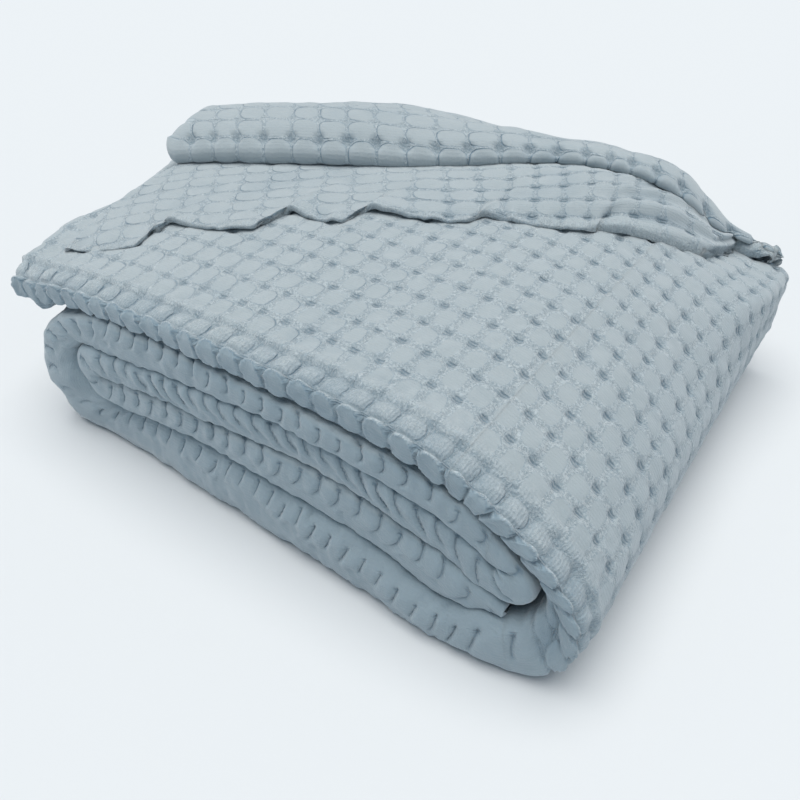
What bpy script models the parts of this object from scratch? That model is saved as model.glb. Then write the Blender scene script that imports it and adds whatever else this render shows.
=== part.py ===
"""Folded waffle weave cotton blanket, built as one continuous sheet of cloth.

The blanket is folded in four across its width, so every strip of the pile is
four plies thick with its big rounded fold at the front (-Y).  The strip is then
folded along X as a flattened spiral: a short inner strip, two strips above it,
a bottom strip on the floor and a long outer wrap that rises over the right end
and covers the top.  The top ply runs on past the back edge and is turned back
over itself as a soft roll and a flap that ends in a hem.
"""
import math
from collections import namedtuple

import bpy
import numpy as np

NAME = "waffle_weave_blanket"

# ---- cloth ---------------------------------------------------------------
SHEET = 0.0024            # thickness of one pressed ply
HALF_SHEET = SHEET / 2.0
STRIP_GAP = 0.0005        # half of the clearance between neighbouring strips

# ---- plan of the pile ------------------------------------------------------
FRONT_Y = -0.200          # front of the pile, from where it thickens and spreads
FOLD_FRONT_Y = -0.194     # middle line of the front folds
BACK_Y = 0.192            # back edge of the plies
LIFT_LIMIT = 0.35         # how much thicker the pile gets towards the back
LIFT_LENGTH = 0.450
FLARE_START_X = 0.050     # left of this the pile spreads towards the back
FLARE_LENGTH = 0.250
FLARE_AMOUNT = 0.068
TUCK_START_X = 0.100      # right of this it draws in a little
TUCK_LENGTH = 0.140
TUCK_AMOUNT = 0.006
LEFT_RISE = 0.011         # the left side also rises towards the back
LEFT_RISE_LENGTH = 0.060
BACK_DROP = 0.009         # the back edge sinks, more so at its two ends
BACK_DROP_LEFT = 0.006
BACK_DROP_RIGHT = 0.012
BACK_DROP_START_X = -0.010
BACK_DROP_WIDTH = 0.120
BACK_DROP_START_Y = 0.080
LEAN_START_X = 0.130      # from here the turn-back leans out over the right end
LEAN_WIDTH = 0.090
LEAN = 0.50

# ---- folds ---------------------------------------------------------------
LEFT_FOLD_X = -0.116      # where the inner strips turn round at the left
LEFT_FOLD_Z = 0.066
LEFT_FOLD_REACH = 0.027
LEFT_FOLD_HEIGHT = 0.0225
LEFT_FOLD_CORE = 0.0016
LEFT_FOLD_STEPS = 6
HEM_END_X = 0.188         # cut end of the innermost strip
NOSE_FULLNESS = 0.85      # depth of a front fold over half its height
NOSE_DEPTH_LIMIT = 0.013  # a thick strip keeps a flatter face
NOSE_SQUARENESS = 0.72    # below one the face is flatter and its corners tighter
INNER_NOSE_SHARE = 0.30   # inner folds lie this share of the strip behind the outer ones
INNER_NOSE_SET_BACK = 0.004
INNER_HEM_SET_BACK = 0.006
LOW_START_Z = 0.012       # below this the bottom strip comes forward in full
LOW_FADE = 0.030
PILE_HEIGHT = 0.120

# ---- unevenness ------------------------------------------------------------
WAVE_FRONT = 0.0022       # in and out along the front folds
WAVE_HEIGHT = 0.0010      # up and down of the layers
WAVE_TURN = 0.7
STATION_TURN = 0.35       # each station's front lies a little differently
Wave = namedtuple("Wave", "share per_x per_y turns")
WAVES = (
    Wave(0.6, 15.0, 4.0, 1.0),
    Wave(0.4, 33.0, -5.0, 2.0),
)

COTTON_COLOUR = (0.42, 0.50, 0.55, 1.0)
COTTON_ROUGHNESS = 0.92

# Heights of the layers at the front, from left to right.
Upper = namedtuple("Upper", "x top under")
UPPER_LAYER = (
    Upper(-0.180, 0.1230, 0.0960),
    Upper(-0.150, 0.1270, 0.1055),
    Upper(-0.110, 0.1300, 0.1130),
    Upper(-0.060, 0.1320, 0.1150),
    Upper(0.000, 0.1330, 0.1130),
    Upper(0.060, 0.1320, 0.1110),
    Upper(0.100, 0.1300, 0.1080),
    Upper(0.130, 0.1260, 0.1050),
    Upper(0.160, 0.1175, 0.0990),
)
Inner = namedtuple("Inner", "x third_top second_top first_top bottom_top")
INNER_LAYERS = (
    Inner(-0.110, 0.1130, 0.0880, 0.0660, 0.0440),
    Inner(-0.060, 0.1150, 0.0910, 0.0700, 0.0470),
    Inner(0.000, 0.1130, 0.0950, 0.0720, 0.0480),
    Inner(0.060, 0.1110, 0.0955, 0.0730, 0.0450),
    Inner(0.100, 0.1080, 0.0920, 0.0690, 0.0410),
    Inner(0.130, 0.1050, 0.0870, 0.0640, 0.0350),
    Inner(0.160, 0.0990, 0.0800, 0.0580, 0.0305),
    Inner(0.184, 0.0885, 0.0680, 0.0500, 0.0355),
)

# The two big wraps, as pairs of points on their outer and inner faces.
Wrap = namedtuple("Wrap", "out_x out_z in_x in_z")
LEFT_WRAP = (
    Wrap(-0.136, 0.1065, -0.120, 0.0892),
    Wrap(-0.158, 0.0970, -0.131, 0.0868),
    Wrap(-0.177, 0.0810, -0.1415, 0.0790),
    Wrap(-0.189, 0.0600, -0.1455, 0.0665),
    Wrap(-0.193, 0.0360, -0.1420, 0.0530),
    Wrap(-0.189, 0.0140, -0.1320, 0.0445),
    Wrap(-0.175, 0.0025, -0.1220, 0.0430),
    Wrap(-0.156, 0.0004, -0.1150, 0.0430),
)
RIGHT_WRAP = (
    Wrap(0.205, 0.0005, 0.197, 0.0385),
    Wrap(0.219, 0.0060, 0.206, 0.0430),
    Wrap(0.231, 0.0190, 0.212, 0.0505),
    Wrap(0.237, 0.0350, 0.215, 0.0570),
    Wrap(0.236, 0.0510, 0.213, 0.0640),
    Wrap(0.229, 0.0660, 0.207, 0.0720),
    Wrap(0.219, 0.0790, 0.199, 0.0790),
    Wrap(0.206, 0.0910, 0.190, 0.0865),
    Wrap(0.187, 0.1040, 0.175, 0.0945),
)
MIDDLE_FOLD = (
    Wrap(0.1960, 0.0510, 0.1865, 0.0662),
    Wrap(0.2045, 0.0540, 0.1885, 0.0667),
    Wrap(0.2085, 0.0605, 0.1892, 0.0680),
    Wrap(0.2060, 0.0685, 0.1885, 0.0693),
    Wrap(0.1980, 0.0765, 0.1865, 0.0698),
)
TOP_END = (
    Wrap(-0.192, 0.1235, -0.190, 0.1000),
    Wrap(-0.199, 0.1200, -0.198, 0.1035),
    Wrap(-0.203, 0.1180, -0.203, 0.1055),
)

# How far the bottom strip comes forward, from left to right.
Front = namedtuple("Front", "x forward")
BOTTOM_FRONT = (
    Front(-0.180, -0.005),
    Front(-0.100, -0.004),
    Front(0.000, -0.003),
    Front(0.060, 0.000),
    Front(0.110, 0.007),
    Front(0.150, 0.011),
    Front(0.200, 0.007),
    Front(0.230, 0.000),
)

# The turn-back on top: the hem of the flap and the front of the roll.
Turn = namedtuple("Turn", "x hem_y hem_lift inset spread roll_y roll_low roll_high")
TURN_BACK = (
    Turn(-0.180, -0.165, 0.0050, 0.027, 0.022, -0.040, 0.0078, 0.0270),
    Turn(-0.155, -0.148, 0.0060, 0.017, 0.017, -0.024, 0.0078, 0.0330),
    Turn(-0.130, -0.131, 0.0070, 0.010, 0.012, -0.007, 0.0078, 0.0350),
    Turn(-0.060, -0.075, 0.0055, 0.003, 0.006, 0.036, 0.0080, 0.0340),
    Turn(0.000, -0.027, 0.0080, 0.000, 0.000, 0.072, 0.0085, 0.0325),
    Turn(0.050, 0.000, 0.0055, 0.000, 0.000, 0.096, 0.0100, 0.0310),
    Turn(0.100, 0.023, 0.0065, 0.000, 0.000, 0.113, 0.0120, 0.0290),
    Turn(0.130, 0.036, 0.0080, 0.000, 0.000, 0.121, 0.0130, 0.0280),
    Turn(0.160, 0.053, 0.0120, 0.000, 0.000, 0.131, 0.0150, 0.0260),
    Turn(0.190, 0.082, 0.0190, 0.000, 0.000, 0.146, 0.0190, 0.0270),
    Turn(0.210, 0.122, 0.0220, 0.000, 0.000, 0.156, 0.0200, 0.0265),
    Turn(0.220, 0.141, 0.0190, 0.000, 0.000, 0.160, 0.0180, 0.0250),
    Turn(0.230, 0.150, 0.0120, 0.000, 0.000, 0.163, 0.0140, 0.0210),
)
FLAP_HEIGHT = 0.0044      # lying flap above the top ply, centre to centre
FLAP_BILLOW = 0.25        # share of the hem's lift that the flap has under the roll
FLAP_START = 0.20
FLAP_PARTS = (0.30, 0.65, 1.0)
FLAP_CURL = 1.6
FLAP_OPENING = 0.080      # distance over which the flap's left edge swings out
ROLL_LENGTH = 0.085       # roll from its rounded front to where it lies down
ROLL_SHARE = 0.72         # at most this share of the way to the back edge
PLEAT_LENGTH = 0.062      # how far the pleat reaches back under the roll
PLEAT_SHARE = 0.60
REST_HEIGHT = 0.0090      # turned back ply above the top ply behind the roll
BACK_RISE = 0.0030        # depth of the fold along the back edge
ROLL_BACK = ((1.0, 0.0), (0.72, 0.5), (0.45, 1.0))
PLEAT_GAP = 0.0036        # lower ply of the roll above the flap, centre to centre

TURNED_WRAP_ROWS = 4      # rows of the right wrap that the turn-back also covers
PLY_Y = (BACK_Y, 0.150, 0.100, -0.020)
NOSE_STEPS = 5
SMALL_FOLD_STEPS = 3


def hermite(knots, values, x):
    """Smooth curve through the knots, straight on beyond the ends."""
    knots = np.asarray(knots, float)
    values = np.asarray(values, float)
    slope = np.gradient(values, knots)
    cell = int(np.clip(np.searchsorted(knots, x) - 1, 0, len(knots) - 2))
    width = knots[cell + 1] - knots[cell]
    t = (x - knots[cell]) / width
    if t < 0.0:
        return values[0] + slope[0] * (x - knots[0])
    if t > 1.0:
        return values[-1] + slope[-1] * (x - knots[-1])
    rise = values[cell + 1] - values[cell]
    bend = slope[cell] * (t - 2 * t**2 + t**3) + slope[cell + 1] * (t**3 - t**2)
    return values[cell] + rise * (3 * t**2 - 2 * t**3) + width * bend


def column(rows, name, x):
    """Value of a named column of a table at the place x."""
    return float(hermite([row.x for row in rows], [getattr(row, name) for row in rows], x))


def run(rows, far, near, xs):
    """Stations of a lying strip between two columns; far and near are its faces a and b."""
    stations = []
    for x in xs:
        face_a = column(rows, far, x) if far else 0.0
        face_b = column(rows, near, x) if near else 0.0
        gap = STRIP_GAP if face_b > face_a else -STRIP_GAP
        lower = face_a + gap
        upper = face_b - gap if near else 0.0
        stations.append(((x, lower), (x, upper)))
    return stations


def left_fold():
    """Stations round the left end of the two inner strips."""
    stations = []
    for step in range(1, LEFT_FOLD_STEPS):
        turn = math.pi * step / LEFT_FOLD_STEPS
        reach = LEFT_FOLD_REACH * math.sin(turn)
        height = LEFT_FOLD_HEIGHT * math.cos(turn)
        outer = (LEFT_FOLD_X - reach, LEFT_FOLD_Z - height)
        core_reach = LEFT_FOLD_CORE * math.sin(turn)
        core_height = LEFT_FOLD_CORE * math.cos(turn)
        core = (LEFT_FOLD_X - core_reach, LEFT_FOLD_Z - core_height)
        stations.append((outer, core))
    return stations


def wrap_stations(rows, outer_is_b):
    """Stations of a wrap table, with the outer face put on the right side."""
    stations = []
    for row in rows:
        outer = (row.out_x, row.out_z)
        core = (row.in_x, row.in_z)
        stations.append((core, outer) if outer_is_b else (outer, core))
    return stations


def strip_path():
    """All stations of the spiral, each with a point on face a and on face b."""
    inner_xs = [row.x for row in INNER_LAYERS]
    upper_xs = [row.x for row in UPPER_LAYER]
    path = run(INNER_LAYERS, "bottom_top", "first_top", [HEM_END_X] + inner_xs[::-1])
    path += left_fold()
    path += run(INNER_LAYERS, "second_top", "first_top", inner_xs)
    path += wrap_stations(MIDDLE_FOLD, True)
    path += run(INNER_LAYERS, "second_top", "third_top", inner_xs[::-1])
    path += wrap_stations(LEFT_WRAP, True)
    path += run(INNER_LAYERS, "bottom_top", "", inner_xs[1:])
    path += wrap_stations(RIGHT_WRAP, True)
    top_start = len(path)
    path += run(UPPER_LAYER, "under", "top", upper_xs[::-1])
    path += wrap_stations(TOP_END, True)
    return path, top_start


def wave(x, y, turn):
    """Gentle unevenness between -1 and 1."""
    return sum(w.share * math.sin(w.per_x * x + w.per_y * y + w.turns * turn) for w in WAVES)


def ramp(value, start, length):
    """Zero at the start, one at the end, smooth between."""
    t = min(1.0, max(0.0, (value - start) / length))
    return t * t * (3.0 - 2.0 * t)


def spread_out(x, y, z):
    """Take a point of the straight pile to its place in the uneven one."""
    depth = (y - FRONT_Y) / (BACK_Y - FRONT_Y)
    lift = 1.0 + LIFT_LIMIT * (1.0 - math.exp((FRONT_Y - y) / LIFT_LENGTH))
    left = max(0.0, (FLARE_START_X - x) / FLARE_LENGTH)
    right = max(0.0, (x - TUCK_START_X) / TUCK_LENGTH)
    x_out = x - FLARE_AMOUNT * left**1.3 * depth - TUCK_AMOUNT * right * depth
    height = max(0.0, z - HALF_SHEET) / PILE_HEIGHT
    rise = LEFT_RISE * left * (1.0 - math.exp((FRONT_Y - y) / LEFT_RISE_LENGTH))
    drop = BACK_DROP + BACK_DROP_LEFT * left + BACK_DROP_RIGHT * ramp(x, BACK_DROP_START_X, BACK_DROP_WIDTH)
    drop *= ramp(y, BACK_DROP_START_Y, BACK_Y - BACK_DROP_START_Y)
    z_out = HALF_SHEET + (z - HALF_SHEET) * lift + height * (rise - drop)
    z_out += WAVE_HEIGHT * min(1.0, 2.0 * height) * wave(x, y, WAVE_TURN)
    return (x_out, y, z_out)


def place(station, share, y):
    """Point of the pile on a station, a share of the way from face a to face b."""
    (ax, az), (bx, bz) = station
    return spread_out(ax + share * (bx - ax), y, az + share * (bz - az))


def thickness(station):
    """Distance between the two faces of a strip at a station."""
    (ax, az), (bx, bz) = station
    return math.hypot(bx - ax, bz - az)


def front_edge(station, number):
    """Where the front fold of a station begins, a little uneven."""
    (ax, az), (bx, bz) = station
    x = 0.5 * (ax + bx)
    low = 1.0 - ramp(min(az, bz), LOW_START_Z, LOW_FADE)
    forward = low * column(BOTTOM_FRONT, "forward", x)
    return FOLD_FRONT_Y - forward + WAVE_FRONT * wave(x, bz, STATION_TURN * number)


def cross_section(station, number):
    """Points of the four plies across one station, from the top back hem to the inner hem."""
    deep = thickness(station)
    outer_share = HALF_SHEET / deep
    inner_share = outer_share + (1.0 - 2.0 * outer_share) / 3.0
    front = front_edge(station, number)
    nose = min(0.5 * (deep - SHEET) * NOSE_FULLNESS, NOSE_DEPTH_LIMIT)
    start = front + nose
    points = [(1.0 - outer_share, y) for y in PLY_Y]
    for step in range(NOSE_STEPS + 1):
        turn = math.pi * step / NOSE_STEPS
        across = math.copysign(abs(math.cos(turn)) ** NOSE_SQUARENESS, math.cos(turn))
        forward = math.sin(turn) ** NOSE_SQUARENESS if 0 < step < NOSE_STEPS else 0.0
        points.append((0.5 + (0.5 - outer_share) * across, start - nose * forward))
    points += [(outer_share, y) for y in reversed(PLY_Y)]
    middle = 0.5 * (outer_share + inner_share)
    half = 0.5 * (inner_share - outer_share)
    for step in range(1, SMALL_FOLD_STEPS):
        turn = math.pi * step / SMALL_FOLD_STEPS
        points.append((middle - half * math.cos(turn), BACK_Y + half * deep * math.sin(turn)))
    points += [(inner_share, y) for y in PLY_Y]
    inner_start = start + INNER_NOSE_SHARE * (deep - SHEET) + INNER_NOSE_SET_BACK
    inner_nose = (0.5 - inner_share) * deep
    for step in range(SMALL_FOLD_STEPS + 1):
        turn = math.pi * step / SMALL_FOLD_STEPS
        share = 0.5 - (0.5 - inner_share) * math.cos(turn)
        points.append((share, inner_start - inner_nose * math.sin(turn)))
    points += [(1.0 - inner_share, y) for y in reversed(PLY_Y[1:])]
    points.append((1.0 - inner_share, BACK_Y - INNER_HEM_SET_BACK))
    return [place(station, share, y) for share, y in points]


def turn_back_section(station, x):
    """Points of the turned back ply over one top station, from the back edge to the hem."""
    (ax, az), (bx, bz) = station
    sink = HALF_SHEET / thickness(station)
    base_x = bx - sink * (bx - ax)
    base_z = bz - sink * (bz - az)
    lean = LEAN * ramp(x, LEAN_START_X, LEAN_WIDTH)
    upright = math.sqrt(1.0 - lean * lean)
    hem_y = column(TURN_BACK, "hem_y", x)
    hem_lift = column(TURN_BACK, "hem_lift", x)
    inset = column(TURN_BACK, "inset", x)
    spread = column(TURN_BACK, "spread", x)
    roll_y = column(TURN_BACK, "roll_y", x)
    low = column(TURN_BACK, "roll_low", x)
    high = column(TURN_BACK, "roll_high", x)
    length = min(ROLL_LENGTH, ROLL_SHARE * (BACK_Y - roll_y))
    pleat = min(PLEAT_LENGTH, PLEAT_SHARE * (BACK_Y - roll_y))
    radius = 0.5 * (high - low)
    rest = min(REST_HEIGHT, high)
    shape = []
    for step in range(1, SMALL_FOLD_STEPS):
        turn = math.pi * step / SMALL_FOLD_STEPS
        shape.append((BACK_Y + BACK_RISE * math.sin(turn), 0.5 * rest * (1.0 - math.cos(turn))))
    shape.append((BACK_Y, rest))
    shape.append((0.5 * (BACK_Y + roll_y + length), rest))
    for part, height in ROLL_BACK:
        shape.append((roll_y + part * length, rest + height * (high - rest)))
    for step in range(NOSE_STEPS):
        turn = math.pi * step / (NOSE_STEPS - 1)
        shape.append((roll_y + radius * (1.0 - math.sin(turn)), 0.5 * (high + low) + radius * math.cos(turn)))
    inner_back = roll_y + pleat
    end_low = FLAP_HEIGHT + PLEAT_GAP
    shape.append((0.5 * (roll_y + inner_back), 0.5 * (low + end_low)))
    shape.append((inner_back, end_low))
    shape.append((inner_back + 0.5 * PLEAT_GAP, 0.5 * (end_low + FLAP_HEIGHT)))
    shape.append((inner_back, FLAP_HEIGHT))
    under_roll = FLAP_HEIGHT + FLAP_BILLOW * max(0.0, hem_lift - FLAP_HEIGHT)
    shape.append((roll_y + FLAP_START * pleat, under_roll))
    for part in FLAP_PARTS:
        y = roll_y + part * (hem_y - roll_y)
        shape.append((y, under_roll + (hem_lift - under_roll) * part**FLAP_CURL))
    points = []
    for y, height in shape:
        px, py, pz = spread_out(base_x + lean * height, y, base_z + upright * height)
        opened = min(1.0, max(0.0, (y - hem_y) / FLAP_OPENING))
        points.append((px + inset - spread * opened, py, pz))
    return points


def halves(verts, corners):
    """Two triangles of a four-sided face, always split along the same slant in plan."""
    a, b, c, d = corners
    along = (verts[c][0] - verts[a][0]) * (verts[c][1] - verts[a][1])
    if along >= 0.0:
        return [(a, b, c), (a, c, d)]
    return [(a, b, d), (b, c, d)]


def sheet_mesh():
    """Vertices and faces of the middle surface of the whole folded sheet."""
    path, top_start = strip_path()
    sections = [cross_section(station, number) for number, station in enumerate(path)]
    count = len(sections[0])
    verts = [point for section in sections for point in section]
    faces = []
    for row in range(len(sections) - 1):
        for col in range(count - 1):
            corner = row * count + col
            faces += halves(verts, (corner, corner + count, corner + count + 1, corner + 1))
    first = top_start - TURNED_WRAP_ROWS
    last = len(path) - len(TOP_END)
    previous = None
    for number in range(first, last):
        station = path[number]
        section = turn_back_section(station, station[1][0])
        start = len(verts)
        verts += section
        ring = [number * count] + list(range(start, start + len(section)))
        if previous:
            for col in range(len(ring) - 1):
                faces += halves(verts, (previous[col + 1], ring[col + 1], ring[col], previous[col]))
        previous = ring
    return verts, faces


def centred(verts):
    """Shift the points so that the plan of the pile is centred on the origin."""
    points = np.array(verts)
    middle = 0.5 * (points.min(axis=0) + points.max(axis=0))
    points[:, 0] -= middle[0]
    points[:, 1] -= middle[1]
    return [tuple(point) for point in points]


def cotton():
    """Pale blue-grey cotton."""
    material = bpy.data.materials.new("cotton_waffle")
    material.use_nodes = True
    shader = material.node_tree.nodes["Principled BSDF"]
    shader.inputs["Base Color"].default_value = COTTON_COLOUR
    shader.inputs["Roughness"].default_value = COTTON_ROUGHNESS
    shader.inputs["Metallic"].default_value = 0.0
    return material


def main():
    """Clear the scene and build the blanket."""
    for old in list(bpy.data.objects):
        bpy.data.objects.remove(old, do_unlink=True)
    collection = bpy.data.collections.new(NAME)
    bpy.context.scene.collection.children.link(collection)
    verts, faces = sheet_mesh()
    mesh = bpy.data.meshes.new("blanket")
    mesh.from_pydata(centred(verts), [], faces)
    mesh.materials.append(cotton())
    blanket = bpy.data.objects.new("blanket", mesh)
    collection.objects.link(blanket)
    thick = blanket.modifiers.new("ply thickness", "SOLIDIFY")
    thick.thickness = SHEET
    thick.offset = 0.0
    thick.use_even_offset = False


main()
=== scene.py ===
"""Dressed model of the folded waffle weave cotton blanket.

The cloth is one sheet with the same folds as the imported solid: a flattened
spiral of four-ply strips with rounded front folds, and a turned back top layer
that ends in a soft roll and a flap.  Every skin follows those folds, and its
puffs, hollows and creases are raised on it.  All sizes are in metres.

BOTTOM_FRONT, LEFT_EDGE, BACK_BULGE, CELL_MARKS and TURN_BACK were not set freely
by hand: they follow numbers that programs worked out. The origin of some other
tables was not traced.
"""

import logging
import math
from dataclasses import dataclass, field
from enum import Enum
from typing import NamedTuple

import bpy
import numpy as np
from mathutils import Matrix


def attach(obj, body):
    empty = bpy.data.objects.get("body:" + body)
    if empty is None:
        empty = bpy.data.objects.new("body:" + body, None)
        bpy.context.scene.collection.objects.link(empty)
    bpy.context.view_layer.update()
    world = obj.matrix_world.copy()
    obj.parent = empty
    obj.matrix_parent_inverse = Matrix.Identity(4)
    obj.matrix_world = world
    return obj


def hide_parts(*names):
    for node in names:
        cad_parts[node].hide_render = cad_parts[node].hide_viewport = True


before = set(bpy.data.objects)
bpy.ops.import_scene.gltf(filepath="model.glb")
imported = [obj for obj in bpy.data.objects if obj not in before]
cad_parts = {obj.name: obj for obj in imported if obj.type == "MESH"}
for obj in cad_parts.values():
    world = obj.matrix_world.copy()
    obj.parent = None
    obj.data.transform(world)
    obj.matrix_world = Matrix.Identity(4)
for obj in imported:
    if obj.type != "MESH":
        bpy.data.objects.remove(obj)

Grid = np.ndarray
Tree = bpy.types.NodeTree
Socket = bpy.types.NodeSocket
LOG = logging.getLogger("waffle_blanket")
NODE = "blanket"


# ---- tables of the folds, in metres ----------------------------------------
class Upper(NamedTuple):
    """Heights of the top strip at the front."""

    x: float
    top: float
    under: float


UPPER_LAYER = (
    Upper(-0.180, 0.1230, 0.0960),
    Upper(-0.150, 0.1270, 0.1055),
    Upper(-0.110, 0.1300, 0.1130),
    Upper(-0.060, 0.1320, 0.1150),
    Upper(0.000, 0.1330, 0.1130),
    Upper(0.060, 0.1320, 0.1110),
    Upper(0.100, 0.1300, 0.1080),
    Upper(0.130, 0.1260, 0.1050),
    Upper(0.160, 0.1175, 0.0990),
)


class Inner(NamedTuple):
    """Heights of the lower strips at the front."""

    x: float
    third_top: float
    second_top: float
    first_top: float
    bottom_top: float


INNER_LAYERS = (
    Inner(-0.110, 0.1130, 0.0880, 0.0660, 0.0440),
    Inner(-0.060, 0.1150, 0.0910, 0.0700, 0.0470),
    Inner(0.000, 0.1130, 0.0950, 0.0720, 0.0480),
    Inner(0.060, 0.1110, 0.0955, 0.0730, 0.0450),
    Inner(0.100, 0.1080, 0.0920, 0.0690, 0.0410),
    Inner(0.130, 0.1050, 0.0870, 0.0640, 0.0350),
    Inner(0.160, 0.0990, 0.0800, 0.0580, 0.0305),
    Inner(0.184, 0.0885, 0.0680, 0.0500, 0.0355),
)


class Wrap(NamedTuple):
    """A pair of points on the outer and inner face of a wrap."""

    out_x: float
    out_z: float
    in_x: float
    in_z: float


LEFT_WRAP = (
    Wrap(-0.136, 0.1065, -0.120, 0.0892),
    Wrap(-0.158, 0.0970, -0.131, 0.0868),
    Wrap(-0.177, 0.0810, -0.1415, 0.0790),
    Wrap(-0.189, 0.0600, -0.1455, 0.0665),
    Wrap(-0.193, 0.0360, -0.1420, 0.0530),
    Wrap(-0.189, 0.0140, -0.1320, 0.0445),
    Wrap(-0.175, 0.0025, -0.1220, 0.0430),
    Wrap(-0.156, 0.0004, -0.1150, 0.0430),
)
RIGHT_WRAP = (
    Wrap(0.205, 0.0005, 0.197, 0.0385),
    Wrap(0.219, 0.0060, 0.206, 0.0430),
    Wrap(0.231, 0.0190, 0.212, 0.0505),
    Wrap(0.237, 0.0350, 0.215, 0.0570),
    Wrap(0.236, 0.0510, 0.213, 0.0640),
    Wrap(0.229, 0.0660, 0.207, 0.0720),
    Wrap(0.219, 0.0790, 0.199, 0.0790),
    Wrap(0.206, 0.0910, 0.190, 0.0865),
    Wrap(0.187, 0.1040, 0.175, 0.0945),
)
MIDDLE_FOLD = (
    Wrap(0.1960, 0.0510, 0.1865, 0.0662),
    Wrap(0.2045, 0.0540, 0.1885, 0.0667),
    Wrap(0.2085, 0.0605, 0.1892, 0.0680),
    Wrap(0.2060, 0.0685, 0.1885, 0.0693),
    Wrap(0.1980, 0.0765, 0.1865, 0.0698),
)
TOP_END = (
    Wrap(-0.192, 0.1235, -0.190, 0.1000),
    Wrap(-0.199, 0.1200, -0.198, 0.1035),
    Wrap(-0.203, 0.1180, -0.203, 0.1055),
)


class Front(NamedTuple):
    """How far the bottom strip comes forward."""

    x: float
    forward: float


# These rows follow offsets that a program worked out.
BOTTOM_FRONT = (
    Front(-0.180, -0.0060),
    Front(-0.130, -0.0070),
    Front(-0.090, -0.0050),
    Front(-0.050, -0.0020),
    Front(0.000, 0.0000),
    Front(0.030, 0.0024),
    Front(0.060, 0.0038),
    Front(0.090, 0.0033),
    Front(0.110, 0.0032),
    Front(0.130, 0.0062),
    Front(0.150, 0.0098),
    Front(0.170, 0.0102),
    Front(0.190, 0.0088),
    Front(0.210, 0.0035),
    Front(0.230, 0.0000),
)


class Turn(NamedTuple):
    """The roll and the flap under it: heights stand above the top ply."""

    x: float
    roll_y: float
    low: float
    crest: float
    hump: float
    under: float


# Thinned and rounded from rows that followed a program's numbers.
TURN_BACK = (
    Turn(-0.180, -0.030, 0.0085, 0.0305, 0.0140, 0.0055),
    Turn(-0.130, -0.010, 0.0085, 0.0315, 0.0185, 0.0055),
    Turn(-0.060, 0.025, 0.0080, 0.0310, 0.0250, 0.0055),
    Turn(0.000, 0.060, 0.0085, 0.0245, 0.0160, 0.0065),
    Turn(0.050, 0.095, 0.0140, 0.0260, 0.0105, 0.0110),
    Turn(0.100, 0.115, 0.0205, 0.0315, 0.0090, 0.0180),
    Turn(0.160, 0.130, 0.0220, 0.0315, 0.0090, 0.0190),
    Turn(0.190, 0.160, 0.0160, 0.0195, 0.0090, 0.0140),
    Turn(0.205, 0.180, 0.0120, 0.0145, 0.0080, 0.0105),
    Turn(0.235, 0.190, 0.0100, 0.0110, 0.0075, 0.0090),
)


class Bow(NamedTuple):
    """One bow of the flap's gathered hem, between two places on the roll."""

    first: float
    last: float
    from_y: float
    to_y: float
    shift: float
    lift: float


# Given in steps of 5 mm, close to where a program had put the gathers.
HEM_BOWS = (
    Bow(-0.180, -0.130, -0.160, -0.140, 0.010, 0.0020),
    Bow(-0.115, -0.060, -0.105, -0.085, 0.000, 0.0025),
    Bow(-0.045, -0.010, -0.050, -0.045, -0.005, 0.0025),
    Bow(0.000, 0.055, -0.020, 0.005, -0.005, 0.0025),
    Bow(0.065, 0.125, 0.020, 0.045, -0.005, 0.0025),
    Bow(0.135, 0.190, 0.055, 0.115, -0.005, 0.0060),
    Bow(0.205, 0.235, 0.180, 0.190, -0.005, 0.0080),
)


class Ledge(NamedTuple):
    """Height of the ply that the turn-back lies on, past the top strip's end."""

    x: float
    z: float


LEDGE = (
    Ledge(0.187, 0.1048),
    Ledge(0.205, 0.0992),
    Ledge(0.222, 0.0948),
    Ledge(0.245, 0.0895),
)


class Bulge(NamedTuple):
    """How far the right end swells out and up behind, at heights z of its outer face."""

    z: float
    out: float
    up: float


# These rows follow points that a program worked out.
BACK_BULGE = (
    Bulge(0.030, 0.0, 0.0),
    Bulge(0.060, 0.0090, 0.0010),
    Bulge(0.079, 0.0215, 0.0070),
    Bulge(0.095, 0.0150, -0.0010),
    Bulge(0.107, 0.0050, -0.0030),
    Bulge(0.118, 0.0, 0.0),
    Bulge(0.123, 0.0, 0.0),
)


class Edge(NamedTuple):
    """How far the top strip's left end reaches past its mean length, and how low it hangs."""

    y: float
    reach: float
    drop: float


# These rows follow points that a program worked out.
LEFT_EDGE = (
    Edge(-0.205, -0.013, 0.0020),
    Edge(-0.194, -0.008, 0.0022),
    Edge(-0.180, 0.002, 0.0026),
    Edge(-0.157, 0.006, 0.0032),
    Edge(-0.130, 0.011, 0.0038),
    Edge(-0.110, 0.007, 0.0040),
    Edge(-0.088, 0.001, 0.0040),
    Edge(-0.060, 0.003, 0.0040),
    Edge(-0.035, 0.006, 0.0038),
    Edge(0.000, 0.012, 0.0032),
    Edge(0.190, 0.012, 0.0020),
)


class Strip(Enum):
    """The strips and wraps in the order in which the spiral runs."""

    FIRST = "first"
    LEFT_FOLD = "left_fold"
    SECOND = "second"
    MIDDLE_FOLD = "middle_fold"
    THIRD = "third"
    LEFT_WRAP = "left_wrap"
    BASE = "base"
    RIGHT_WRAP = "right_wrap"
    TOP = "top"


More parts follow.
